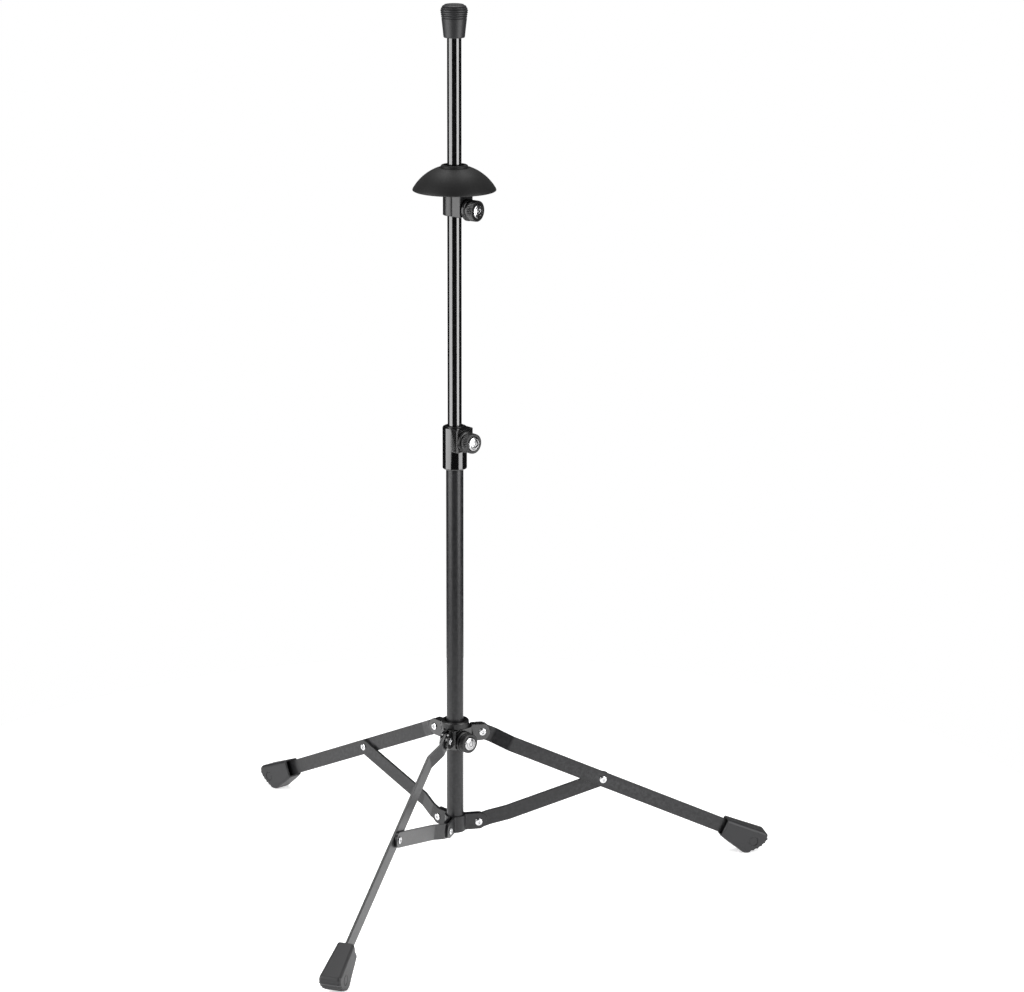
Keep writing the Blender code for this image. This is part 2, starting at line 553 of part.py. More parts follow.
def build_legs(build):
    leg = strap(build, "leg", LEG_TO_MOUTH + LEG_INSERT, LEG_JOG, LEG_OFFSET, (0, LEG_TO_C))
    brace = strap(build, "strut", STRUT_TO_C + STRAP_HALF, STRUT_JOG, STRUT_OFFSET, (0, STRUT_TO_C))
    foot = foot_mesh(build)
    leg_outer = LEG_OFFSET - STRAP_THICK / 2 - GAP
    leg_pin = rivet(build, "leg_rivet", leg_outer, LEG_OFFSET + STRAP_THICK / 2 - 0.0001, head_high=False)
    strut_outer = STRUT_OFFSET + STRAP_THICK / 2 + GAP
    strut_pin = rivet(build, "strut_rivet", STRUT_OFFSET - STRAP_THICK / 2 + 0.0001, strut_outer, head_low=False)
    for index, angle in enumerate(LEG_ANGLES, 1):
        on_leg = leg_frame(angle, A_R, A_Z, LEG_SLOPE)
        build.add(f"leg_{index}", leg, "satin_black", on_leg)
        build.add(f"foot_{index}", foot, "grey_rubber", on_leg)
        build.add(f"strut_{index}", brace, "satin_black", leg_frame(angle, B_R, B_Z, -STRUT_SLOPE))
        build.add(f"leg_rivet_{index}", leg_pin, "bright_steel", pin_frame(angle, C_R, C_Z))
        build.add(f"strut_rivet_{index}", strut_pin, "bright_steel", pin_frame(angle, C_R, C_Z))


def main():
    clear_scene()
    build = Builder()
    build_column(build)
    build_clutch(build)
    build_clamp(build, "clutch", CLUTCH_SCREW_Z, ROD_R, BOSS_FACE, 0.0006, 0.0145)
    build_bell_rest(build)
    build_clamp(build, "bell", HUB_SCREW_Z, ROD_R, HUB_BOSS_FACE, 0.0020, 0.0145, BELL_TURN)
    build_tip(build)
    build_base_plates(build)
    build_leg_collar(build)
    build_clamp(build, "collar", COLLAR_SCREW_Z, TUBE_R, BLOCK_FACE, 0.0006, 0.0115)
    build_legs(build)


main()
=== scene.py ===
"""Looks of a folding stand for a brass instrument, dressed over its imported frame.

Metres, +Z up, the floor at Z = 0. Every piece is built in the frame's own coordinates.
"""

import logging
import math
from collections.abc import Callable
from dataclasses import dataclass, field
from enum import Enum

import bmesh
import bpy
from mathutils import Matrix, Vector

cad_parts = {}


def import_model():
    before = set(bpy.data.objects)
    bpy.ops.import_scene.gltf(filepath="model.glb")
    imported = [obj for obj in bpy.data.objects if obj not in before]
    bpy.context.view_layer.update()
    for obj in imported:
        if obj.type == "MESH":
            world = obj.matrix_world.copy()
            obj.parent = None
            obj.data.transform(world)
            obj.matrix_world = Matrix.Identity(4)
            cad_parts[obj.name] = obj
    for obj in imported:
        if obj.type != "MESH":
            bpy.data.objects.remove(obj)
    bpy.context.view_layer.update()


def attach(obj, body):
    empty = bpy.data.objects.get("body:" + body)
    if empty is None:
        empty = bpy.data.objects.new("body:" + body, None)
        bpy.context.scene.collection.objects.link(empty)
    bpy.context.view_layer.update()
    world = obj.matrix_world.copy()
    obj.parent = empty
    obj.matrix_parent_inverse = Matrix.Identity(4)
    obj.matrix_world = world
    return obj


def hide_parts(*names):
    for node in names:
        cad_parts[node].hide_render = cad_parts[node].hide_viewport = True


LOG = logging.getLogger("stand")

Point = tuple[float, float]
Corner = tuple[float, ...]
Colour = tuple[float, float, float]
Mesh = bpy.types.Mesh
Socket = bpy.types.NodeSocket
Value = Socket | float

GAP = 0.0003
TUBE_R, ROD_R, ROD_TOP = 0.0100, 0.0080, 1.0170
SCREW_HOLE_R = 0.0033
LEG_PIVOT = (0.0318, 0.1734)
STRUT_PIVOT = (0.0278, 0.0597)
LEG_SLOPE = math.radians(25.2)
LEG_OFFSET = -0.0085
LEG_ANGLES = [math.radians(a) for a in (-30, 90, 210)]
BELL_TURN = math.radians(10)
FINE, MEDIUM, PASSAGE_STEPS = 128, 72, 110

# A cutting pin is turned a little, so that its corners miss the edges of what it cuts.
PIN_TURN = math.radians(2)
# After a cut, points nearer than this are merged and slivers thinner than this are dissolved.
MERGE, SLIVER = 3.8e-5, 3e-6
# A gap left by a cut is filled if it has no more sides than this.
GAP_SIDES = 8


class Slot(Enum):
    """The material slots."""

    SATIN_STEEL = "satin_steel"
    GLOSS_STEEL = "gloss_steel"
    GLOSS_CAST = "gloss_cast"
    BLACK_PLASTIC = "black_plastic"
    DOME_RUBBER = "dome_rubber"
    GREY_RUBBER = "grey_rubber"
    BRIGHT_RIVET = "bright_rivet"
    BRIGHT_CAP = "bright_cap"
    ZINC_SCREW = "zinc_screw"


class Effect(Enum):
    """Shader node groups that several finishes share."""

    GRAIN = "moulded_grain"
    MOTTLE = "uneven_gloss"
    # Lighter outer edges: partly a worn coat, partly a painted highlight along the edges.
    EDGE_WEAR_AND_HIGHLIGHT = "edge_wear_and_painted_highlight"
    DUST = "settled_dust"


# ---------------------------------------------------------------- finishes


@dataclass(frozen=True)
class Finish:
    """One finish: its base, its gloss and how strongly each shared effect shows.

    Lengths are in metres. Grain and ripple depths feed the Bump node's distance.
    """

    slot: Slot
    colour: Colour
    roughness: float
    metallic: float = 0.0
    specular: float = 0.5
    coat: float = 0.0
    coat_roughness: float = 0.08
    sheen: float = 0.0
    grain_size: float = 0.0004
    grain_depth: float = 0.00002
    ripple_size: float = 0.004
    ripple_depth: float = 0.0
    gloss_spread: float = 0.06
    shade_spread: float = 0.12
    # How much the outer edges are lightened, and to what colour: partly a worn coat, partly a painted
    # highlight.
    wear_and_painted_highlight: float = 0.0
    wear_and_highlight_colour: Colour = (0.20, 0.20, 0.21)
    dust: float = 0.0
    dust_colour: Colour = (0.22, 0.21, 0.20)


SATIN_STEEL = Finish(Slot.SATIN_STEEL, (0.0070, 0.0070, 0.0077), 0.31, specular=0.38, grain_size=0.0005,
                     grain_depth=0.000022, gloss_spread=0.03, shade_spread=0.06, wear_and_painted_highlight=0.12, dust=0.01)
GLOSS_STEEL = Finish(Slot.GLOSS_STEEL, (0.0012, 0.0012, 0.0013), 0.10, specular=0.90, coat=0.40,
                     coat_roughness=0.04, grain_size=0.0008, grain_depth=0.0000015, ripple_size=0.006,
                     ripple_depth=0.000008, gloss_spread=0.02, wear_and_painted_highlight=0.05, dust=0.005)
GLOSS_CAST = Finish(Slot.GLOSS_CAST, (0.0018, 0.0018, 0.0020), 0.13, specular=0.68, coat=0.28,
                    coat_roughness=0.06, grain_size=0.0012, grain_depth=0.000006, ripple_size=0.005,
                    ripple_depth=0.000020, gloss_spread=0.03, wear_and_painted_highlight=0.12, dust=0.01)
BLACK_PLASTIC = Finish(Slot.BLACK_PLASTIC, (0.0060, 0.0060, 0.0063), 0.32, specular=0.45, grain_size=0.0003,
                       grain_depth=0.000014, gloss_spread=0.04, wear_and_painted_highlight=0.08, dust=0.02)
DOME_RUBBER = Finish(Slot.DOME_RUBBER, (0.0075, 0.0075, 0.0077), 0.52, specular=0.24, sheen=0.03,
                     grain_size=0.0005, grain_depth=0.000030, gloss_spread=0.04, shade_spread=0.08, dust=0.02)
GREY_RUBBER = Finish(Slot.GREY_RUBBER, (0.0150, 0.0150, 0.0162), 0.46, specular=0.34, sheen=0.03,
                     grain_size=0.0005, grain_depth=0.000035, gloss_spread=0.04, shade_spread=0.08, dust=0.02)
BRIGHT_RIVET = Finish(Slot.BRIGHT_RIVET, (0.62, 0.62, 0.63), 0.24, metallic=1.0, grain_size=0.0004,
                      grain_depth=0.000006, gloss_spread=0.04, shade_spread=0.08)
BRIGHT_CAP = Finish(Slot.BRIGHT_CAP, (0.46, 0.46, 0.465), 0.20, metallic=1.0, grain_size=0.0005,
                    grain_depth=0.000003, gloss_spread=0.03, shade_spread=0.05)
ZINC_SCREW = Finish(Slot.ZINC_SCREW, (0.22, 0.22, 0.23), 0.30, metallic=1.0, grain_size=0.0004,
                    grain_depth=0.000008, gloss_spread=0.06, shade_spread=0.12)


class GroupMaker:
    """Builds the shared shader node groups once and hands them out."""

    def __init__(self) -> None:
        """Starts with no groups."""
        self.made: dict[Effect, bpy.types.NodeTree] = {}

    def get(self, effect: Effect) -> bpy.types.NodeTree:
        """The node group of an effect, built the first time it is asked for.

        Args:
            effect: Which shared effect.

        Returns:
            Its node tree.
        """
        builders = {
            Effect.GRAIN: self._grain,
            Effect.MOTTLE: self._mottle,
            Effect.EDGE_WEAR_AND_HIGHLIGHT: self._edge_wear_and_painted_highlight,
            Effect.DUST: self._dust,
        }
        if effect not in self.made:
            self.made[effect] = builders[effect]()
        return self.made[effect]

    @staticmethod
    def _tree(effect: Effect, inputs: dict[str, float], outputs: list[str]
              ) -> tuple[bpy.types.NodeTree, bpy.types.Node, bpy.types.Node]:
        """An empty group with float inputs and outputs.

        Args:
            effect: Which effect the group is for.
            inputs: Names and starting values of the inputs.
            outputs: Names of the outputs.

        Returns:
            The tree, its Group Input node and its Group Output node.
        """
        tree = bpy.data.node_groups.new(effect.value, "ShaderNodeTree")
        for name, value in inputs.items():
            socket = tree.interface.new_socket(name, in_out="INPUT", socket_type="NodeSocketFloat")
            socket.default_value = value
        for name in outputs:
            tree.interface.new_socket(name, in_out="OUTPUT", socket_type="NodeSocketFloat")
        return tree, tree.nodes.new("NodeGroupInput"), tree.nodes.new("NodeGroupOutput")

    @staticmethod
    def _math(tree: bpy.types.NodeTree, operation: str, first: Value, second: Value | None = None) -> Socket:
        """A Math node's output.

        Args:
            tree: The tree it goes in.
            operation: The Math node's operation.
            first: A socket or a number.
            second: A socket, a number or nothing.

        Returns:
            The node's output socket.
        """
        node = tree.nodes.new("ShaderNodeMath")
        node.operation = operation
        for index, value in enumerate((first, second)):
            if isinstance(value, (int, float)):
                node.inputs[index].default_value = value
            elif value is not None:
                tree.links.new(value, node.inputs[index])
        return node.outputs[0]

    @staticmethod
    def _noise(tree: bpy.types.NodeTree, scale: Value, detail: float, rough: float) -> Socket:
        """A Noise node on object coordinates.

        Args:
            tree: The tree it goes in.
            scale: A socket or a number.
            detail: Octaves.
            rough: How strong the finer octaves are.

        Returns:
            The Fac output socket.
        """
        coordinate = tree.nodes.new("ShaderNodeTexCoord")
        noise = tree.nodes.new("ShaderNodeTexNoise")
        noise.inputs["Detail"].default_value = detail
        noise.inputs["Roughness"].default_value = rough
        tree.links.new(coordinate.outputs["Object"], noise.inputs["Vector"])
        if isinstance(scale, (int, float)):
            noise.inputs["Scale"].default_value = scale
        else:
            tree.links.new(scale, noise.inputs["Scale"])
        return noise.outputs[0]

    def _grain(self) -> bpy.types.NodeTree:
        """Fine grain over a slow ripple, as one height in metres."""
        tree, source, out = self._tree(
            Effect.GRAIN,
            {"Grain Size": 0.0004, "Grain Depth": 0.00002, "Ripple Size": 0.004, "Ripple Depth": 0.0},
            ["Height"],
        )
        fine = self._noise(tree, self._math(tree, "DIVIDE", 1.0, source.outputs["Grain Size"]), 3.0, 0.6)
        slow = self._noise(tree, self._math(tree, "DIVIDE", 1.0, source.outputs["Ripple Size"]), 1.0, 0.4)
        fine_height = self._math(tree, "MULTIPLY", fine, source.outputs["Grain Depth"])
        slow_height = self._math(tree, "MULTIPLY", slow, source.outputs["Ripple Depth"])
        tree.links.new(self._math(tree, "ADD", fine_height, slow_height), out.inputs["Height"])
        return tree

    def _mottle(self) -> bpy.types.NodeTree:
        """A slow change of shade and of gloss over the surface."""
        tree, source, out = self._tree(
            Effect.MOTTLE, {"Roughness": 0.4, "Gloss Spread": 0.06, "Shade Spread": 0.1, "Scale": 45.0},
            ["Roughness", "Shade"],
        )
        broad = self._noise(tree, source.outputs["Scale"], 4.0, 0.55)
        near = self._noise(tree, self._math(tree, "MULTIPLY", source.outputs["Scale"], 17.0), 3.0, 0.6)
        both = self._math(tree, "ADD", self._math(tree, "MULTIPLY", broad, 0.65),
                          self._math(tree, "MULTIPLY", near, 0.35))
        centred = self._math(tree, "MULTIPLY", self._math(tree, "SUBTRACT", both, 0.5), 4.0)
        gloss = self._math(tree, "MULTIPLY", centred, source.outputs["Gloss Spread"])
        tree.links.new(self._math(tree, "ADD", source.outputs["Roughness"], gloss), out.inputs["Roughness"])
        shade = self._math(tree, "MULTIPLY", centred, source.outputs["Shade Spread"])
        tree.links.new(self._math(tree, "ADD", 1.0, shade), out.inputs["Shade"])
        return tree

    def _edge_wear_and_painted_highlight(self) -> bpy.types.NodeTree:
        """Lighter outer edges, broken up by noise: partly where the coat is thin, partly a painted highlight
        along the edges.
        """
        tree, source, out = self._tree(Effect.EDGE_WEAR_AND_HIGHLIGHT, {"Amount": 0.3}, ["Mask"])
        edge = tree.nodes.new("ShaderNodeAttribute")
        edge.attribute_name = "outer_edge"
        broken = self._noise(tree, 260.0, 4.0, 0.65)
        patches = self._math(tree, "MULTIPLY", self._math(tree, "SUBTRACT", broken, 0.38), 3.0)
        patches = self._math(tree, "MINIMUM", self._math(tree, "MAXIMUM", patches, 0.0), 1.0)
        mask = self._math(tree, "MULTIPLY", edge.outputs["Fac"], patches)
        tree.links.new(self._math(tree, "MULTIPLY", mask, source.outputs["Amount"]), out.inputs["Mask"])
        return tree

    def _dust(self) -> bpy.types.NodeTree:
        """A little dust on faces that look up."""
        tree, source, out = self._tree(Effect.DUST, {"Amount": 0.05}, ["Mask"])
        geometry = tree.nodes.new("ShaderNodeNewGeometry")
        split = tree.nodes.new("ShaderNodeSeparateXYZ")
        tree.links.new(geometry.outputs["Normal"], split.inputs[0])
        up = self._math(tree, "MAXIMUM", split.outputs["Z"], 0.0)
        patches = self._noise(tree, 90.0, 5.0, 0.65)
        mask = self._math(tree, "MULTIPLY", self._math(tree, "MULTIPLY", up, up), patches)
        tree.links.new(self._math(tree, "MULTIPLY", mask, source.outputs["Amount"]), out.inputs["Mask"])
        return tree


class Paint:
    """Turns finishes into materials, one material for each finish."""

    def __init__(self) -> None:
        """Starts with no materials."""
        self.groups = GroupMaker()
        self.made: dict[Slot, bpy.types.Material] = {}

    def _group(self, tree: bpy.types.NodeTree, effect: Effect, values: dict[str, float]) -> bpy.types.Node:
        """Places a shared effect in a material with this finish's values.

        Args:
            tree: The material's node tree.
            effect: Which shared effect.
            values: Input names and values.

        Returns:
            The group node.
        """
        node = tree.nodes.new("ShaderNodeGroup")
        node.node_tree = self.groups.get(effect)
        for name, value in values.items():
            node.inputs[name].default_value = value
        return node

    @staticmethod
    def _mix(tree: bpy.types.NodeTree, mode: str, factor: Value, first: Socket | Colour,
             second: Socket | Colour) -> Socket:
        """A colour Mix node's output.

        Args:
            tree: The material's node tree.
            mode: MIX or MULTIPLY.
            factor: A socket or a number.
            first: A colour socket or a colour.
            second: A colour socket or a colour.

        Returns:
            The result socket.
        """
        node = tree.nodes.new("ShaderNodeMix")
        node.data_type = "RGBA"
        node.blend_type = mode
        for socket, value in ((node.inputs[0], factor), (node.inputs[6], first), (node.inputs[7], second)):
            if isinstance(value, tuple):
                socket.default_value = (*value, 1.0)
            elif isinstance(value, (int, float)):
                socket.default_value = value
            else:
                tree.links.new(value, socket)
        return node.outputs[2]

    def get(self, finish: Finish) -> bpy.types.Material:
        """The material of a finish.

        Args:
            finish: The finish to build.

        Returns:
            Its material, made the first time it is asked for.
        """
        if finish.slot in self.made:
            return self.made[finish.slot]
        made = bpy.data.materials.new(f"finish_{finish.slot.value}")
        made.use_nodes = True
        tree = made.node_tree
        shader = tree.nodes["Principled BSDF"]
        shader.inputs["Metallic"].default_value = finish.metallic
        shader.inputs["Specular IOR Level"].default_value = finish.specular
        shader.inputs["Coat Weight"].default_value = finish.coat
        shader.inputs["Coat Roughness"].default_value = finish.coat_roughness
        shader.inputs["Sheen Weight"].default_value = finish.sheen
        shader.inputs["Sheen Roughness"].default_value = 0.5

        mottle = self._group(tree, Effect.MOTTLE, {
            "Roughness": finish.roughness, "Gloss Spread": finish.gloss_spread,
            "Shade Spread": finish.shade_spread})
        grain = self._group(tree, Effect.GRAIN, {
            "Grain Size": finish.grain_size, "Grain Depth": finish.grain_depth,
            "Ripple Size": finish.ripple_size, "Ripple Depth": finish.ripple_depth})
        shade = tree.nodes.new("ShaderNodeCombineColor")
        for channel in range(3):
            tree.links.new(mottle.outputs["Shade"], shade.inputs[channel])
        colour = self._mix(tree, "MULTIPLY", 1.0, finish.colour, shade.outputs[0])
        # Lighten the outer edges: partly a worn coat, partly a painted highlight.
        if finish.wear_and_painted_highlight:
            wear_and_painted_highlight = self._group(tree, Effect.EDGE_WEAR_AND_HIGHLIGHT, {"Amount": finish.wear_and_painted_highlight})
            colour = self._mix(tree, "MIX", wear_and_painted_highlight.outputs["Mask"], colour, finish.wear_and_highlight_colour)
        if finish.dust:
            dust = self._group(tree, Effect.DUST, {"Amount": finish.dust})
            colour = self._mix(tree, "MIX", dust.outputs["Mask"], colour, finish.dust_colour)
        tree.links.new(colour, shader.inputs["Base Color"])
        tree.links.new(mottle.outputs["Roughness"], shader.inputs["Roughness"])
        bump = tree.nodes.new("ShaderNodeBump")
        bump.inputs["Strength"].default_value = 1.0
        bump.inputs["Distance"].default_value = 1.0
        tree.links.new(grain.outputs["Height"], bump.inputs["Height"])
        tree.links.new(bump.outputs["Normal"], shader.inputs["Normal"])
        self.made[finish.slot] = made
        return made


# ---------------------------------------------------------------- outlines


def soften(corners: list[Corner], closed: bool = False, steps: int = 5) -> list[Point]:
    """Rounds the corners of an outline.

    Args:
        corners: (x, y) for a sharp corner or (x, y, radius) for a rounded one.
        closed: Whether the last corner joins the first.
        steps: Segments in each rounded corner.

    Returns:
        The points of the rounded outline.
    """
    points: list[Point] = []
    count = len(corners)
    for index, corner in enumerate(corners):
        here = Vector(corner[:2])
        radius = corner[2] if len(corner) > 2 else 0.0
        at_end = not closed and index in (0, count - 1)
        if radius <= 0 or at_end:
            points.append((here.x, here.y))
            continue
        before, after = Vector(corners[index - 1][:2]), Vector(corners[(index + 1) % count][:2])
        back, ahead = before - here, after - here
        half = back.angle(ahead) / 2
        if half > math.pi / 2 - 0.01:
            points.append((here.x, here.y))
            continue
        reach = min(radius / math.tan(half), 0.49 * back.length, 0.49 * ahead.length)
        start, end = here + back.normalized() * reach, here + ahead.normalized() * reach
        real = reach * math.tan(half)
        centre = here + (back.normalized() + ahead.normalized()).normalized() * (real / math.sin(half))
        first, last = start - centre, end - centre
        sweep = first.angle_signed(last)
        for step in range(steps + 1):
            turned = first.copy()
            turned.rotate(Matrix.Rotation(-sweep * step / steps, 2))
            points.append((centre.x + turned.x, centre.y + turned.y))
    return points


def arc(centre: Point, radii: Point, start: float, end: float, steps: int) -> list[Point]:
    """Points on the arc of an ellipse.

    Args:
        centre: The middle of the ellipse.
        radii: Half widths along x and y.
        start: First angle in degrees.
        end: Last angle in degrees.
        steps: Segments.

    Returns:
        The points from start to end.
    """
    angles = [math.radians(start + (end - start) * i / steps) for i in range(steps + 1)]
    return [(centre[0] + radii[0] * math.cos(a), centre[1] + radii[1] * math.sin(a)) for a in angles]


def height_at(path: list[Point], x: float) -> float:
    """The y of an open path that runs along x, by straight lines between its points.

    Args:
        path: Its points, in order along x.
        x: Where to read it.

    Returns:
        The y there.
    """
    for (x0, y0), (x1, y1) in zip(path, path[1:]):
        if x0 <= x <= x1:
            return y0 + (y1 - y0) * (x - x0) / max(x1 - x0, 1e-12)
    return path[0][1] if x < path[0][0] else path[-1][1]


# ---------------------------------------------------------------- frames


def spin(angle: float) -> Matrix:
    """A turn about the column's axis."""
    return Matrix.Rotation(angle, 4, "Z")


def across(x: float, z: float) -> Matrix:
    """Lays local Z along Y at (x, z)."""
    return Matrix.Translation((x, 0, z)) @ Matrix.Rotation(math.pi / 2, 4, "X")


def towards_knob(distance: float, z: float) -> Matrix:
    """Points local Z along -Y from the column's axis, starting at this distance."""
    return Matrix.Translation((0, -distance, z)) @ Matrix.Rotation(math.pi / 2, 4, "X")


def strap_frame(angle: float, radius: float, z: float, slope: float) -> Matrix:
    """A frame at a pivot: X along the strap, Y sideways, Z square to both."""
    return spin(angle) @ Matrix.Translation((radius, 0, z)) @ Matrix.Rotation(slope, 4, "Y")


def pin_frame(angle: float, radius: float, z: float) -> Matrix:
    """A frame at a pivot with Z along the pivot's axis."""
    return spin(angle) @ Matrix.Translation((radius, 0, z)) @ Matrix.Rotation(-math.pi / 2, 4, "X")


# ---------------------------------------------------------------- mesh tools


class Bench:
    """Makes meshes: turned, cut from plate, folded from strip, joined and rounded."""

    @staticmethod
    def finish(bm: bmesh.types.BMesh, name: str) -> Mesh:
        """Closes a bmesh into a mesh with its faces looking outward.

        Args:
            bm: The working mesh, which is freed.
            name: The new mesh's name.

        Returns:
            The mesh.
        """
        bmesh.ops.remove_doubles(bm, verts=bm.verts, dist=1e-7)
        bmesh.ops.recalc_face_normals(bm, faces=bm.faces)
        mesh = bpy.data.meshes.new(name)
        bm.to_mesh(mesh)
        bm.free()
        return mesh

    def turned(self, name: str, profile: list[Point], steps: int = FINE, closed: bool = False,
               flutes: int = 0, fluted: Point = (0.0, 0.0), depth: float = 0.0) -> Mesh:
        """A turned solid.

        Args:
            name: The mesh's name.
            profile: (radius, z) points. An open profile starts and ends on the axis.
            steps: Segments round.
            closed: Whether the profile is a loop that stays clear of the axis.
            flutes: How many grip ribs run round its outermost wall.
            fluted: The z range that the ribs cover.
            depth: How deep the grooves between ribs are.

        Returns:
            The mesh.
        """
        bm = bmesh.new()
        rings = []
        rim = 0.9 * max(radius for radius, _ in profile)
        for radius, z in profile:
            if radius < 1e-7:
                rings.append([bm.verts.new((0, 0, z))])
                continue
            ring = []
            for step in range(steps):
                angle = 2 * math.pi * step / steps
                groove = 0.0
                if flutes and radius > rim and fluted[0] <= z <= fluted[1]:
                    groove = depth * (0.5 - 0.5 * math.cos(flutes * angle)) ** 1.5
                ring.append(bm.verts.new(((radius - groove) * math.cos(angle),
                                          (radius - groove) * math.sin(angle), z)))
            rings.append(ring)
        pairs = list(zip(rings, rings[1:]))
        if closed:
            pairs.append((rings[-1], rings[0]))
        for low, high in pairs:
            if len(low) == 1 and len(high) == 1:
                continue
            for i in range(steps):
                j = (i + 1) % steps
                face = [low[i % len(low)], low[j % len(low)], high[j % len(high)], high[i % len(high)]]
                bm.faces.new(list(dict.fromkeys(face)))
        return self.finish(bm, name)

    def prism(self, name: str, outline: list[Point], depth_of: Callable[[Point], float],
              to_point: Callable[[Point, float], Corner]) -> Mesh:
        """A solid between two copies of an outline.

        Args:
            name: The mesh's name.
            outline: Its points, in order.
            depth_of: Gives the half depth at a point.
            to_point: Turns a point and a signed depth into a place.

        Returns:
            The mesh.
        """
        bm = bmesh.new()
        low = [bm.verts.new(to_point(p, -depth_of(p))) for p in outline]
        high = [bm.verts.new(to_point(p, depth_of(p))) for p in outline]
        bm.faces.new(low)
        bm.faces.new(list(reversed(high)))
        for i in range(len(outline)):
            j = (i + 1) % len(outline)
            bm.faces.new((low[j], low[i], high[i], high[j]))
        return self.finish(bm, name)

    def slab(self, name: str, outline: list[Point], z_low: float, z_high: float) -> Mesh:
        """A plan outline pulled up from z_low to z_high."""
        middle, half = (z_low + z_high) / 2, (z_high - z_low) / 2
        return self.prism(name, outline, lambda p: half, lambda p, d: (p[0], p[1], middle + d))

    @staticmethod
    def pin(radius: float, length: float, matrix: Matrix, steps: int = 48) -> Mesh:
        """A cutting pin along local Z, centred, then moved.

        Args:
            radius: The pin's radius.
            length: Its length.
            matrix: Its place.
            steps: Segments round.

        Returns:
            The mesh.
        """
        bm = bmesh.new()
        bmesh.ops.create_cone(bm, cap_ends=True, segments=steps, radius1=radius, radius2=radius, depth=length)
        bmesh.ops.transform(bm, matrix=matrix @ spin(PIN_TURN), verts=bm.verts)
        mesh = bpy.data.meshes.new("pin")
        bm.to_mesh(mesh)
        bm.free()
        return mesh

    @staticmethod
    def evaluated(obj: bpy.types.Object) -> Mesh:
        """The mesh of a working object with its modifiers applied. The object is removed.

        Args:
            obj: The working object.

        Returns:
            The mesh.
        """
        bpy.context.view_layer.update()
        graph = bpy.context.evaluated_depsgraph_get()
        mesh = bpy.data.meshes.new_from_object(obj.evaluated_get(graph))
        bpy.data.objects.remove(obj, do_unlink=True)
        return mesh

    @staticmethod
    def working(mesh: Mesh) -> bpy.types.Object:
        """A working object round a mesh."""
        obj = bpy.data.objects.new("working", mesh)
        bpy.context.scene.collection.objects.link(obj)
        return obj

    def joined(self, mesh: Mesh, tools: list[Mesh], operation: str) -> Mesh:
        """A union with, or a cut by, each tool in turn, with the slivers that this leaves closed.

        Args:
            mesh: The body.
            tools: The meshes to add or to cut with.
            operation: UNION or DIFFERENCE.

        Returns:
            The new mesh.
        """
        obj = self.working(mesh)
        helpers = [self.working(tool) for tool in tools]
        for helper in helpers:
            modifier = obj.modifiers.new("cut", "BOOLEAN")
            modifier.operation = operation
            modifier.solver = "EXACT"
            modifier.object = helper
        result = self.evaluated(obj)
        for helper in helpers:
            bpy.data.objects.remove(helper, do_unlink=True)
        bm = bmesh.new()
        bm.from_mesh(result)
        bmesh.ops.remove_doubles(bm, verts=bm.verts, dist=MERGE)
        bmesh.ops.dissolve_degenerate(bm, edges=bm.edges, dist=SLIVER)
        bmesh.ops.holes_fill(bm, edges=bm.edges, sides=GAP_SIDES)
        bm.to_mesh(result)
        bm.free()
        return result

    def rounded(self, mesh: Mesh, width: float, segments: int = 3, angle: float = 40) -> Mesh:
        """The mesh with its sharp edges rounded.

        Args:
            mesh: The body.
            width: How wide the rounding is.
            segments: Steps across it.
            angle: Edges sharper than this, in degrees, are rounded.

        Returns:
            The new mesh.
        """
        obj = self.working(mesh)
        bevel = obj.modifiers.new("round", "BEVEL")
        bevel.width = width
        bevel.segments = segments
        bevel.limit_method = "ANGLE"
        bevel.angle_limit = math.radians(angle)
        bevel.harden_normals = False
        return self.evaluated(obj)

    def levelled(self, mesh: Mesh) -> Mesh:
        """The mesh with normals weighted by area, so that flat faces shade flat beside rounded edges.

        Args:
            mesh: The body.

        Returns:
            The new mesh.
        """
        obj = self.working(mesh)
        level = obj.modifiers.new("level", "WEIGHTED_NORMAL")
        level.weight = 60
        level.keep_sharp = True
        return self.evaluated(obj)

    def strip(self, name: str, path: list[Point], halves: list[float], thick: float, edge: float) -> Mesh:
        """A strip of plate on edge that follows a plan path.

        Args:
            name: The mesh's name.
            path: The plan path of its middle.
            halves: Its half height at each point of the path.
            thick: The plate's thickness.
            edge: The radius of its edges.

        Returns:
            The mesh.
        """
        bm = bmesh.new()
        low = [bm.verts.new((x, y, -h)) for (x, y), h in zip(path, halves)]
        high = [bm.verts.new((x, y, h)) for (x, y), h in zip(path, halves)]
        for i in range(len(path) - 1):
            bm.faces.new((low[i], low[i + 1], high[i + 1], high[i]))
        mesh = bpy.data.meshes.new(name)
        bm.to_mesh(mesh)
        bm.free()
        obj = self.working(mesh)
        solid = obj.modifiers.new("solid", "SOLIDIFY")
        solid.thickness = thick
        solid.offset = 0
        return self.rounded(self.evaluated(obj), edge, 3, 50)


def mark_outer_edges(mesh: Mesh) -> None:
    """Stores how near each vertex is to an outer edge, for the lighter edges that are partly a worn coat and
    partly a painted highlight.

    Args:
        mesh: The finished mesh, which gets a float attribute.
    """
    bm = bmesh.new()
    bm.from_mesh(mesh)
    layer = bm.verts.layers.float.new("outer_edge")
    for edge in bm.edges:
        if len(edge.link_faces) == 2:
            turn = edge.calc_face_angle_signed(0.0)
            if turn > math.radians(12):
                for vert in edge.verts:
                    vert[layer] = max(vert[layer], min(1.0, turn / math.radians(35)))
    bm.to_mesh(mesh)
    bm.free()


# ---------------------------------------------------------------- the stand


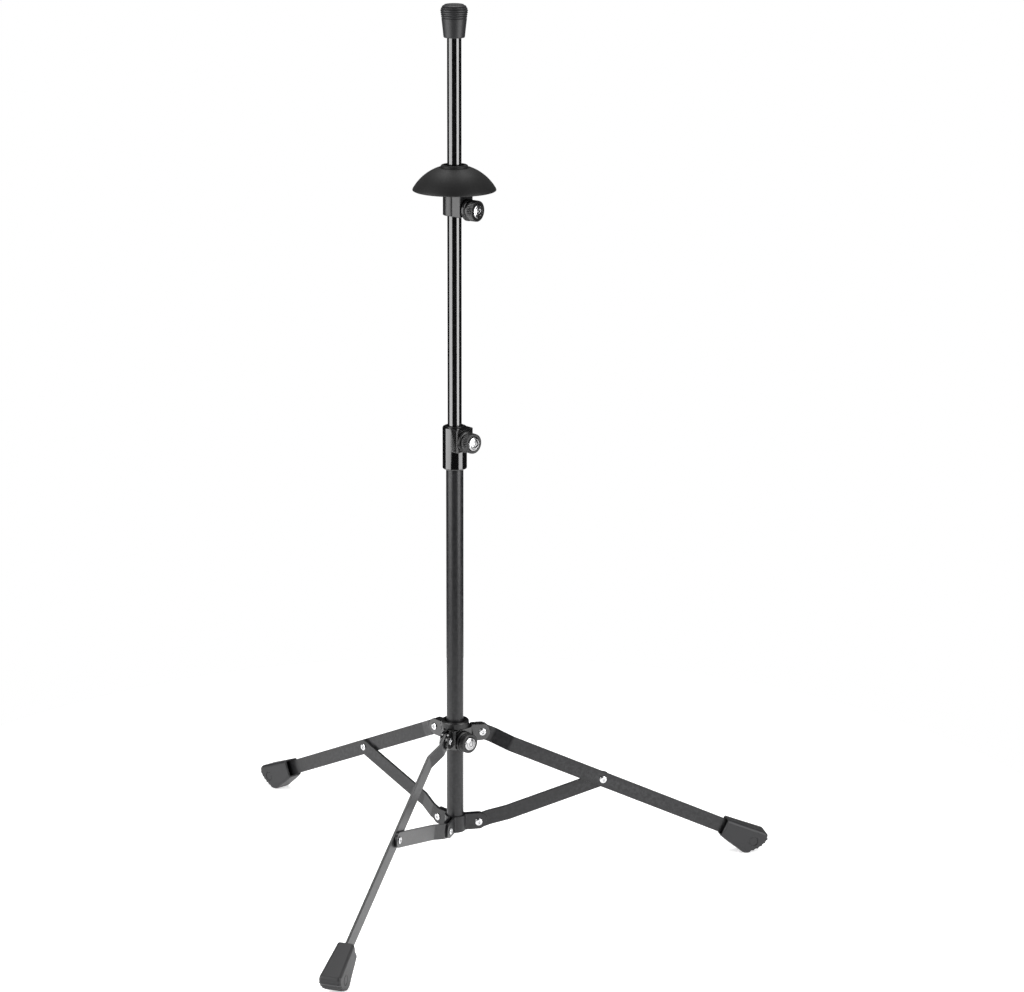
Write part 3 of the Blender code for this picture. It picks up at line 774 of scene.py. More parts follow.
@dataclass
class Shop:
    """What every sub-assembly needs: the mesh bench, the paint and the column's place."""

    bench: Bench = field(default_factory=Bench)
    paint: Paint = field(default_factory=Paint)
    axis: Matrix = field(default_factory=Matrix)
    done: int = 0

    def place(self, name: str, mesh: Mesh, finish: Finish, body: str, node: str | None = None,
              where: Matrix | None = None, sharp: float = 32) -> bpy.types.Object:
        """Puts a piece on the stand, dresses it and ties it to its body.

        Args:
            name: The piece's name.
            mesh: Its mesh, in the frame of `where`.
            finish: Its finish.
            body: The body it rides on.
            node: The frame's node it stands for, if any.
            where: Its place relative to the column's axis.
            sharp: Edges sharper than this angle in degrees stay crisp.

        Returns:
            The piece.
        """
        mesh = mesh.copy()
        mesh.transform(self.axis @ (where or Matrix()))
        mark_outer_edges(mesh)
        mesh.shade_smooth()
        mesh.set_sharp_from_angle(angle=math.radians(sharp))
        mesh = self.bench.levelled(mesh)
        mesh.materials.append(self.paint.get(finish))
        obj = bpy.data.objects.new(name, mesh)
        bpy.context.scene.collection.objects.link(obj)
        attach(obj, body)
        if node:
            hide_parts(node)
        self.done += 1
        LOG.info("%s rides on %s, %d faces", name, body, len(mesh.polygons))
        return obj


@dataclass
class Column:
    """The lower tube with its end plug, and the rod that slides in it with its guide."""

    tube_r: float = TUBE_R
    tube_wall: float = 0.0015
    tube_bottom: float = 0.0510
    tube_top: float = 0.5380
    rod_r: float = ROD_R
    rod_wall: float = 0.0012
    rod_bottom: float = 0.3300
    rod_top: float = ROD_TOP
    screw_z: float = 0.5300
    hole_r: float = SCREW_HOLE_R

    def build(self, shop: Shop) -> None:
        """Builds the tube, its plug, the rod and its guide.

        Args:
            shop: Where pieces are made and placed.
        """
        bench = shop.bench
        inner = self.tube_r - self.tube_wall
        ring = soften([(self.tube_r, self.tube_top, 0.0004), (self.tube_r, self.tube_bottom, 0.0004),
                       (inner, self.tube_bottom, 0.0003), (inner, self.tube_top, 0.0003)], True, 3)
        tube = bench.turned("lower_tube", ring, FINE, closed=True)
        hole = bench.pin(self.hole_r, 0.02, towards_knob(0.010, self.screw_z))
        shop.place("tube_satin", bench.joined(tube, [hole], "DIFFERENCE"), SATIN_STEEL, "column",
                   "lower_tube")

        plug_r, low = inner - GAP, self.tube_bottom - GAP
        plug = soften([(0, self.tube_bottom + 0.010), (plug_r, self.tube_bottom + 0.010, 0.001),
                       (plug_r, low), (self.tube_r - 0.0003, low, 0.0002),
                       (self.tube_r - 0.0007, low - 0.0012, 0.0008),
                       (0.0052, low - 0.0012, 0.0003), (0.0048, low - 0.0006, 0.0003), (0, low - 0.0006)])
        shop.place("tube_end_plug", bench.turned("end_plug", plug, MEDIUM), BLACK_PLASTIC, "column",
                   "end_plug")

        wall = self.rod_r - self.rod_wall
        ring = soften([(self.rod_r, self.rod_top, 0.0003), (self.rod_r, self.rod_bottom, 0.0003),
                       (wall, self.rod_bottom, 0.0002), (wall, self.rod_top, 0.0002)], True, 3)
        shop.place("rod_gloss", bench.turned("upper_rod", ring, FINE, closed=True), GLOSS_STEEL, "rod",
                   "upper_rod")

        top, low, guide_r = self.rod_bottom - GAP, self.rod_bottom - 0.016, inner - GAP
        ring = soften([(wall - GAP, self.rod_bottom + 0.010, 0.0004), (wall - GAP, top),
                       (guide_r, top, 0.0003), (guide_r, low, 0.0010), (wall - 0.0020, low, 0.0003),
                       (wall - 0.0020, self.rod_bottom + 0.010, 0.0003)], True, 3)
        shop.place("rod_end_guide", bench.turned("rod_guide", ring, MEDIUM, closed=True), BLACK_PLASTIC,
                   "rod_guide", "rod_guide")


@dataclass
class Clutch:
    """The cast sleeve on top of the lower tube, with its boss and the bush round the rod."""

    radius: float = 0.0140
    bottom: float = 0.4950
    top: float = 0.5450
    boss_bottom: float = 0.5175
    boss_face: float = 0.0185
    boss_width: float = 0.0237
    bush_r: float = 0.0112
    screw_z: float = 0.5300

    def build(self, shop: Shop, column: Column) -> None:
        """Builds the sleeve and its bush.

        Args:
            shop: Where pieces are made and placed.
            column: The tube and rod that the clutch joins.
        """
        bench = shop.bench
        bore, seat = column.tube_r + GAP, column.tube_top + GAP
        barrel = soften([(0, self.top), (self.radius, self.top, 0.0019), (self.radius, self.bottom, 0.0042),
                         (bore + 0.0002, self.bottom, 0.0004), (0, self.bottom)], steps=8)
        sleeve = bench.turned("clutch_sleeve", barrel, FINE)
        half = self.boss_width / 2
        outline = soften([(-half, -0.0040), (-half, -self.boss_face, 0.0011), (half, -self.boss_face, 0.0011),
                          (half, -0.0040)], True, 5)
        boss = bench.rounded(bench.slab("boss", outline, self.boss_bottom, self.top - 0.0003), 0.0010, 4, 60)
        sleeve = bench.joined(sleeve, [boss], "UNION")
        passage = [(0, self.bottom - 0.01), (bore, self.bottom - 0.01), (bore, seat),
                   (self.bush_r + GAP, seat), (self.bush_r + GAP, self.top - 0.0012),
                   (self.bush_r + 0.0015, self.top + 0.0008),
                   (0, self.top + 0.0008)]
        cuts = [bench.turned("passage", passage, PASSAGE_STEPS),
                bench.pin(column.hole_r, 0.02, towards_knob(0.016, self.screw_z))]
        sleeve = bench.joined(sleeve, cuts, "DIFFERENCE")
        shop.place("clutch_casting", sleeve, GLOSS_CAST, "column", "clutch_sleeve", sharp=38)

        low, top, bore = seat + 2 * GAP, self.top + 0.0008, column.rod_r + GAP
        bush = soften([(self.bush_r, top, 0.0007), (self.bush_r, low, 0.0003), (bore, low, 0.0002),
                       (bore, top - 0.0016, 0.0002), (column.rod_r + 0.0014, top, 0.0003)], True, 4)
        shop.place("clutch_inner_bush", bench.turned("clutch_bush", bush, FINE, closed=True), BLACK_PLASTIC,
                   "column", "clutch_bush")


@dataclass
class Clamp:
    """A thumb screw: pad, threaded shank, ribbed knob and bright cap, in a line."""

    prefix: str
    z: float
    grips_r: float
    face: float
    stand_off: float
    length: float
    turn: float = 0.0
    screw_r: float = 0.0030
    pad_thick: float = 0.0016
    pitch: float = 0.0010
    flange_r: float = 0.0123
    waist_r: float = 0.0098
    drum_r: float = 0.0116
    cap_r: float = 0.0079
    cap_height: float = 0.0030
    recess: float = 0.0015
    ribs: int = 36

    def build(self, shop: Shop) -> None:
        """Builds the four pieces of the clamp.

        Args:
            shop: Where pieces are made and placed.
        """
        bench = shop.bench
        start, turned = self.grips_r + GAP, spin(self.turn)
        pad = soften([(0, 0), (self.screw_r, 0, 0.0004), (self.screw_r, self.pad_thick, 0.0002),
                      (0, self.pad_thick)])
        shop.place(f"{self.prefix}_brake_pad", bench.turned("pad", pad, 40), BLACK_PLASTIC,
                   f"{self.prefix}_pad", f"{self.prefix}_pad", turned @ towards_knob(start, self.z))

        back = self.face + self.stand_off
        first = start + self.pad_thick + GAP
        length = back + self.length - 0.0035 - first
        shank = bench.turned("screw", self._thread(length), 48)
        shop.place(f"{self.prefix}_threaded_shank", shank, ZINC_SCREW, f"{self.prefix}_screw",
                   f"{self.prefix}_screw", turned @ towards_knob(first, self.z), sharp=50)
        knob = self._knob(bench)
        shop.place(f"{self.prefix}_ribbed_knob", knob, BLACK_PLASTIC, f"{self.prefix}_screw",
                   f"{self.prefix}_knob", turned @ towards_knob(back, self.z), sharp=50)
        shop.place(f"{self.prefix}_bright_cap", bench.turned("cap", self._cap(), MEDIUM), BRIGHT_CAP,
                   f"{self.prefix}_screw", f"{self.prefix}_cap", turned @ towards_knob(back, self.z))

    def _thread(self, length: float) -> list[Point]:
        """The profile of the shank, with a ring for each turn of its thread.

        Args:
            length: The shank's length.

        Returns:
            The profile's points.
        """
        points, crest, root = [(0.0, 0.0), (self.screw_r - 0.0006, 0.0)], self.screw_r, self.screw_r - 0.0005
        z = 0.0008
        while z < length - self.pitch:
            points += [(root, z), (crest, z + 0.4 * self.pitch), (crest, z + 0.6 * self.pitch)]
            z += self.pitch
        return points + [(root, z), (root, length), (0.0, length)]

    def _knob(self, bench: Bench) -> Mesh:
        """The knob: a flange, a waist and a ribbed drum with a recess for the cap.

        Args:
            bench: Where meshes are made.

        Returns:
            The mesh.
        """
        length, floor = self.length, self.length - self.recess
        drum_back, waist_front, waist_back = length * 0.46, length * 0.40, length * 0.27
        bore = self.screw_r + GAP
        profile = soften([
            (0, floor), (self.cap_r + GAP, floor), (self.cap_r + GAP, length, 0.0003),
            (self.drum_r, length, 0.0010), (self.drum_r, drum_back, 0.0004),
            (self.waist_r, waist_front, 0.0004), (self.waist_r, waist_back, 0.0006),
            (self.flange_r, length * 0.21, 0.0006), (self.flange_r, 0.0, 0.0008),
            (bore, 0.0), (bore, length - 0.0030), (0, length - 0.0030)])
        dense: list[Point] = []
        for (r0, z0), (r1, z1) in zip(profile, profile[1:]):
            dense.append((r0, z0))
            if abs(r0 - r1) < 1e-6 and r0 > self.drum_r - 0.0001 and abs(z1 - z0) > 0.003:
                dense += [(r0, z0 + (z1 - z0) * k / 6) for k in range(1, 6)]
        dense.append(profile[-1])
        return bench.turned("knob", dense, self.ribs * 8, flutes=self.ribs,
                            fluted=(drum_back + 0.0003, length - 0.0006), depth=0.0007)

    def _cap(self) -> list[Point]:
        """The cap: a shallow dome with two plain rings and a middle button."""
        low = self.length - self.recess + GAP
        top, base, radius = low + self.cap_height, low + 0.0012, self.cap_r

        def dome(r: float, sink: float = 0.0) -> Point:
            """A point of the domed face, sunk a little in a groove."""
            return (r, base + (top - base) * math.sqrt(max(1 - (r / radius) ** 2, 0.0)) ** 0.8 - sink)

        points = [dome(0.0), dome(0.0007), dome(0.0013), dome(0.0018, 0.0001), dome(0.0020, 0.0005)]
        points += [dome(0.0022, 0.0010), dome(0.0031, 0.0010), dome(0.0034, 0.0004), dome(0.0036)]
        points.append(dome(0.0041))
        points += [dome(0.0047), dome(0.0051, 0.0001), dome(0.0053, 0.0006), dome(0.0059, 0.0006)]
        points += [dome(0.0061, 0.0001), dome(0.0063), dome(0.0069), dome(0.0074), dome(0.0077)]
        points += [(radius, base), (radius, low), (0.0, low)]
        return points


@dataclass
class BellRest:
    """The rubber dome that the bell sits on, and the hub that holds it to the rod."""

    rim_r: float = 0.0472
    rim_z: float = 0.8172
    sphere_r: float = 0.0541
    centre_z: float = 0.7916
    wall: float = 0.0030
    neck_r: float = 0.0156
    neck_top: float = 0.8456
    hub_r: float = 0.0130
    hub_bottom: float = 0.7890
    hub_top: float = 0.8380
    boss_face: float = 0.0175
    boss_width: float = 0.0228
    boss_top: float = 0.8130
    screw_z: float = 0.7965
    rod_r: float = ROD_R

    def build(self, shop: Shop) -> None:
        """Builds the dome and the hub.

        Args:
            shop: Where pieces are made and placed.
        """
        bench, where = shop.bench, spin(BELL_TURN)
        shop.place("bell_dome_rubber", bench.turned("bell_dome", self._dome(), 160, closed=True), DOME_RUBBER,
                   "bell_rest", "bell_dome", where, sharp=45)

        body = soften([(0, self.hub_top), (self.hub_r, self.hub_top, 0.0008),
                       (self.hub_r, self.hub_bottom, 0.0008), (0, self.hub_bottom)])
        hub = bench.turned("bell_hub", body, FINE)
        half = self.boss_width / 2
        outline = soften([(-half, -0.0040), (-half, -self.boss_face, 0.0009), (half, -self.boss_face, 0.0009),
                          (half, -0.0040)], True, 5)
        boss = bench.slab("boss", outline, self.hub_bottom - 0.0005, self.boss_top)
        boss = bench.rounded(boss, 0.0008, 3, 60)
        hub = bench.joined(hub, [boss], "UNION")
        passage = [(0, self.hub_bottom - 0.001), (self.rod_r + 0.0018, self.hub_bottom - 0.001),
                   (self.rod_r + GAP, self.hub_bottom + 0.0008), (self.rod_r + GAP, self.hub_top + 0.01),
                   (0, self.hub_top + 0.01)]
        cuts = [bench.turned("passage", passage, PASSAGE_STEPS),
                bench.pin(SCREW_HOLE_R, 0.02, towards_knob(0.016, self.screw_z))]
        shop.place("bell_hub_moulding", bench.joined(hub, cuts, "DIFFERENCE"), BLACK_PLASTIC, "bell_rest",
                   "bell_hub", where, sharp=38)

    def _dome(self) -> list[Point]:
        """The dome's profile: hollow neck ring, outer skin, thin round rim and inner skin."""
        def skin(r: float, radius: float) -> Point:
            """A point of a sphere's upper half."""
            return (r, self.centre_z + math.sqrt(radius ** 2 - r * r))

        inner_r = self.sphere_r - self.wall
        steps = 28
        outer_end = self.rim_r - 0.0004
        outer = [skin(self.neck_r + (outer_end - self.neck_r) * i / steps, self.sphere_r)
                 for i in range(1, steps + 1)]
        inner_start = self.rim_r - 0.0030
        inner = [skin(inner_start - (inner_start - 0.0160) * i / steps, inner_r) for i in range(steps + 1)]
        neck_base = skin(self.neck_r, self.sphere_r)[1]
        shelf = self.hub_top + GAP
        neck = soften([(0.0114, self.neck_top - 0.0026), (0.0122, self.neck_top, 0.0004),
                       (0.0142, self.neck_top, 0.0008), (self.neck_r - 0.0002, neck_base + 0.0010, 0.0004),
                       (self.neck_r - 0.0002, neck_base - 0.0016, 0.0004),
                       (self.neck_r + 0.0010, neck_base - 0.0018, 0.0004),
                       (self.neck_r + 0.0018, neck_base - 0.0010)])
        rim = soften([outer[-1], (self.rim_r, self.rim_z - 0.0002, 0.0006),
                      (self.rim_r - 0.0016, self.rim_z - 0.0010, 0.0006), inner[0]])
        socket = [(self.hub_r + GAP, inner[-1][1] - 0.0006), (self.hub_r + GAP, shelf),
                  (self.rod_r + 0.0005, shelf), (self.rod_r + 0.0005, self.neck_top - 0.0034),
                  (self.rod_r + 0.0008, self.neck_top - 0.0030)]
        return neck + outer[2:-1] + rim + inner[1:] + socket


@dataclass
class RubberTip:
    """The grooved rubber tip that goes into the instrument."""

    bottom: float = 0.9865
    top: float = 1.0235
    low_r: float = 0.0118
    high_r: float = 0.0153
    flat_r: float = 0.0080
    rod_r: float = ROD_R
    rod_top: float = ROD_TOP
    grooves: int = 7
    first_groove: float = 0.0012
    groove_step: float = 0.00235
    groove_width: float = 0.0011
    groove_depth: float = 0.0008
    crown_depth: float = 0.0080
    step: float = 0.00025
    steps: int = 136

    def build(self, shop: Shop) -> None:
        """Builds the tip."""
        mesh = shop.bench.turned("tip", self._profile(), FINE)
        shop.place("rubber_tip", mesh, GREY_RUBBER, "rod", "tip", sharp=45)

    def _skin(self, depth: float) -> float:
        """The outer radius at a depth below the crown.

        Args:
            depth: How far below the crown.

        Returns:
            The radius there, without the grooves.
        """
        if depth <= self.crown_depth:
            rise = math.sqrt(max(1 - (1 - depth / self.crown_depth) ** 2, 0.0))
            return self.flat_r + (self.high_r - self.flat_r) * rise
        down = (depth - self.crown_depth) / (self.top - self.bottom - self.crown_depth)
        ease = down ** 0.85
        return self.high_r + (self.low_r - self.high_r) * ease

    def _profile(self) -> list[Point]:
        """The profile with its grooves, its round foot and the bore."""
        depths = [round(index * self.step, 6) for index in range(self.steps)]
        outer: list[Point] = [(0.0, self.top), (self.flat_r * 0.6, self.top)]
        for depth in depths:
            radius = self._skin(depth)
            for index in range(self.grooves):
                away = abs(depth - self.first_groove - index * self.groove_step) / (self.groove_width / 2)
                if away < 1:
                    radius -= self.groove_depth * (1 - away * away)
            outer.append((radius, self.top - depth))
        bore, roof = self.rod_r + GAP, self.rod_top + GAP
        foot = soften([outer[-1], (self._skin(self.top - self.bottom), self.bottom, 0.0014),
                       (bore + 0.0002, self.bottom, 0.0003), (bore, self.bottom + 0.0006), (bore, roof),
                       (0, roof)],
                      steps=6)
        return outer[:-1] + foot


@dataclass
class Rivet:
    """A rivet along local Z, with domed, dimpled heads."""

    head_r: float = 0.0043
    head_h: float = 0.0013
    shank_r: float = 0.0024
    hole_r: float = 0.0027
    dimple_r: float = 0.0017
    dimple: float = 0.0012

    def _head(self, seat: float, way: int) -> list[Point]:
        """A head's profile from its middle outward, on a seat, facing up (1) or down (-1).

        Args:
            seat: Where the head's underside sits.
            way: 1 for up, -1 for down.

        Returns:
            The profile's points.
        """
        crown = seat + way * self.head_h
        points = [(0.0, crown - way * self.dimple), (self.dimple_r * 0.55, crown - way * self.dimple),
                  (self.dimple_r * 0.9, crown - way * 0.0002), (self.dimple_r * 1.15, crown),
                  (self.dimple_r * 1.6, crown - way * 0.00002)]
        dome = [(self.head_r * math.sin(math.radians(a)),
                 seat + way * (0.00035 + (self.head_h - 0.00035) * math.cos(math.radians(a)) ** 0.9))
                for a in (38, 48, 58, 68, 78, 86)]
        return points + dome + [(self.head_r, seat + way * 0.0003), (self.head_r - 0.0001, seat)]

    def mesh(self, bench: Bench, low: float, high: float, low_head: bool = True,
             high_head: bool = True) -> Mesh:
        """The rivet's mesh.

        Args:
            bench: Where meshes are made.
            low: Where the lower head's underside sits, or where the shank ends.
            high: Where the upper head's underside sits, or where the shank ends.
            low_head: Whether it has a lower head.
            high_head: Whether it has an upper head.

        Returns:
            The mesh.
        """
        upper = self._head(high, 1) if high_head else [(0.0, high)]
        lower = self._head(low, -1) if low_head else [(0.0, low)]
        shank = [(self.shank_r, high), (self.shank_r, low)]
        return bench.turned("rivet", upper + shank + lower[::-1], 56)


@dataclass
class BasePlates:
    """Three folded plates round the foot of the tube, and the rivets that hold the struts."""

    bottom: float = 0.0510
    top: float = 0.0706
    thick: float = 0.0020
    ear_side: float = 0.0029
    bend_r: float = 0.0030
    ear_r: float = 0.0096
    pivot_r: float = STRUT_PIVOT[0]
    pivot_z: float = STRUT_PIVOT[1]
    tube_r: float = TUBE_R

    def _half_path(self) -> list[Point]:
        """The plan path of half a plate, from its ear's end to its middle, for a leg at 0 degrees."""
        wrap = self.tube_r + GAP + self.thick / 2
        bend = self.ear_side + self.bend_r
        bend_x = math.sqrt((wrap + self.bend_r) ** 2 - bend ** 2)
        meet = math.degrees(math.atan2(bend, bend_x))
        reach = [self.ear_r * math.sin(math.radians(a)) for a in (84, 76, 68, 60, 51, 42, 33, 24, 15, 5)]
        ear = [(self.pivot_r + x, self.ear_side) for x in reach] + [(self.pivot_r - 0.009, self.ear_side)]
        turn = arc((bend_x, bend), (self.bend_r, self.bend_r), 270, 180 + meet, 8)
        return ear + turn + arc((0, 0), (wrap, wrap), meet, 60, 10)[1:]

    def build(self, shop: Shop) -> None:
        """Builds the plates and their rivets.

        Args:
            shop: Where pieces are made and placed.
        """
        bench, half_path = shop.bench, self._half_path()
        mirror = []
        for x, y in reversed(half_path[:-1]):
            angle, length = math.radians(120) - math.atan2(y, x), math.hypot(x, y)
            mirror.append((length * math.cos(angle), length * math.sin(angle)))
        full = (self.top - self.bottom) / 2
        halves = [full * math.sqrt(max(1 - (max(x - self.pivot_r, 0.0) / self.ear_r) ** 2, 0.0))
                  for x, _ in half_path]
        mesh = bench.strip("base_plate", half_path + mirror, halves + halves[-2::-1], self.thick, 0.0004)
        mesh.transform(Matrix.Translation((0, 0, (self.top + self.bottom) / 2)))
        holes = [bench.pin(Rivet.hole_r, 0.02, spin(a) @ across(self.pivot_r, self.pivot_z))
                 for a in (0, math.radians(120))]
        mesh = bench.joined(mesh, holes, "DIFFERENCE")
        outer = self.ear_side + self.thick / 2 + GAP
        pin = Rivet().mesh(bench, -outer, outer)
        for index, angle in enumerate(LEG_ANGLES, 1):
            shop.place(f"base_plate_fold_{index}", mesh, SATIN_STEEL, "column", f"base_plate_{index}",
                       spin(angle))
            shop.place(f"base_rivet_bright_{index}", pin, BRIGHT_RIVET, "column", f"base_rivet_{index}",
                       pin_frame(angle, self.pivot_r, self.pivot_z))


@dataclass
class LegCollar:
    """The cast collar that slides on the tube and carries the legs between its ears."""

    bottom: float = 0.1576
    top: float = 0.1814
    face: float = 0.0152
    half: float = 0.0130
    ear_inner: float = 0.0019
    ear_thick: float = 0.0033
    ear_bottom: float = 0.1630
    ear_top: float = 0.1832
    ear_end: float = 0.0413
    bush_r: float = 0.0119
    rim_r: float = 0.0166
    rim_top: float = 0.1897
    screw_z: float = 0.1662
    pivot_r: float = LEG_PIVOT[0]
    pivot_z: float = LEG_PIVOT[1]
    tube_r: float = TUBE_R

    def _ear(self, bench: Bench, side: float) -> Mesh:
        """One ear, for a leg along +X, its middle plane at this sideways distance.

        Args:
            bench: Where meshes are made.
            side: The sideways distance.

        Returns:
            The mesh.
        """
        middle, half = (self.ear_top + self.ear_bottom) / 2, (self.ear_top - self.ear_bottom) / 2
        reach = 0.0105
        outline = [(0.0125, self.ear_bottom)]
        outline += arc((self.ear_end - reach, middle), (reach, half), -90, 90, 28)
        outline += [(0.0192, self.ear_top), (0.0180, self.top - 0.0004), (0.0125, self.top - 0.0004)]
        ear = bench.prism("ear", outline, lambda p: self.ear_thick / 2, lambda p, d: (p[0], side + d, p[1]))
        return bench.rounded(ear, 0.0006, 3, 50)

    def build(self, shop: Shop) -> None:
        """Builds the casting, its bush and its rivets.

        Args:
            shop: Where pieces are made and placed.
        """
        bench = shop.bench
        outline = []
        for angle in (math.radians(a) for a in (-90, 30, 150)):
            for side in (-self.half, self.half):
                outline.append((self.face * math.cos(angle) - side * math.sin(angle),
                                self.face * math.sin(angle) + side * math.cos(angle), 0.0009))
        block = bench.slab("block", soften(outline, True, 4), self.bottom, self.top)
        block = bench.rounded(block, 0.0008, 4, 50)
        middle = self.ear_inner + self.ear_thick / 2
        ears = []
        for angle in LEG_ANGLES:
            for side in (-middle, middle):
                ear = self._ear(bench, side)
                ear.transform(spin(angle))
                ears.append(ear)
        block = bench.joined(block, ears, "UNION")
        cuts = [bench.pin(self.bush_r + GAP, 0.10, Matrix.Translation((0, 0, self.pivot_z)), FINE),
                bench.pin(SCREW_HOLE_R, 0.02, towards_knob(0.016, self.screw_z))]
        cuts += [bench.pin(Rivet.hole_r, 0.02, spin(a) @ across(self.pivot_r, self.pivot_z))
                 for a in LEG_ANGLES]
        block = bench.joined(block, cuts, "DIFFERENCE")
        shop.place("leg_collar_casting", block, GLOSS_CAST, "leg_collar", "leg_collar", sharp=38)

        low, shelf, bore = self.bottom + 0.001, self.top + GAP, self.tube_r + GAP
        bush = soften([(0.0128, self.rim_top, 0.0005), (self.rim_r - 0.0002, self.rim_top, 0.0020),
                       (self.rim_r, shelf + 0.0004, 0.0004), (self.rim_r - 0.0003, shelf, 0.0002),
                       (self.bush_r, shelf), (self.bush_r, low, 0.0004), (bore, low, 0.0003),
                       (bore, self.rim_top - 0.0046, 0.0004)], True, 6)
        mesh = bench.turned("collar_bush", bush, FINE, closed=True)
        hole = bench.pin(SCREW_HOLE_R, 0.008, towards_knob(0.012, self.screw_z))
        shop.place("leg_collar_bush", bench.joined(mesh, [hole], "DIFFERENCE"), BLACK_PLASTIC, "leg_collar",
                   "collar_bush", sharp=38)

        outer = self.ear_inner + self.ear_thick + GAP
        pin = Rivet().mesh(bench, -outer, outer)
        for index, angle in enumerate(LEG_ANGLES, 1):
            shop.place(f"collar_rivet_bright_{index}", pin, BRIGHT_RIVET, "leg_collar",
                       f"collar_rivet_{index}", pin_frame(angle, self.pivot_r, self.pivot_z))


@dataclass
class Strap:
    """A flat strap on edge, from its first rivet along +X, with one sideways step."""

    end: float
    jog: Point
    offset: float
    half: float = 0.0090
    thick: float = 0.0030
    bend_r: float = 0.0110
    edge: float = 0.0005

    def mesh(self, bench: Bench, name: str, holes: tuple[float, ...]) -> Mesh:
        """The strap's mesh, with a hole for each rivet.

        Args:
            bench: Where meshes are made.
            name: The mesh's name.
            holes: How far along each hole is.

        Returns:
            The mesh.
        """
        start = -self.half
        middle = soften([(start, 0.0), (self.jog[0], 0.0, self.bend_r),
                         (self.jog[1], self.offset, self.bend_r), (self.end, self.offset)], steps=8)
        ends = [self.half * (1 - math.cos(math.radians(a))) for a in (7, 14, 22, 30, 38, 47, 56, 65, 74, 83)]
        stations = {start + e for e in ends} | {self.end - e for e in ends} | {x for x, _ in middle[1:-1]}
        path, halves = [], []
        for x in sorted(stations):
            over = max(start + self.half - x, x - (self.end - self.half), 0.0)
            path.append((x, height_at(middle, x)))
            halves.append(math.sqrt(max(self.half ** 2 - over * over, 0.0)))
        mesh = bench.strip(name, path, halves, self.thick, self.edge)
        cutters = [bench.pin(Rivet.hole_r, 0.05, across(x, 0)) for x in holes]
        return bench.joined(mesh, cutters, "DIFFERENCE")


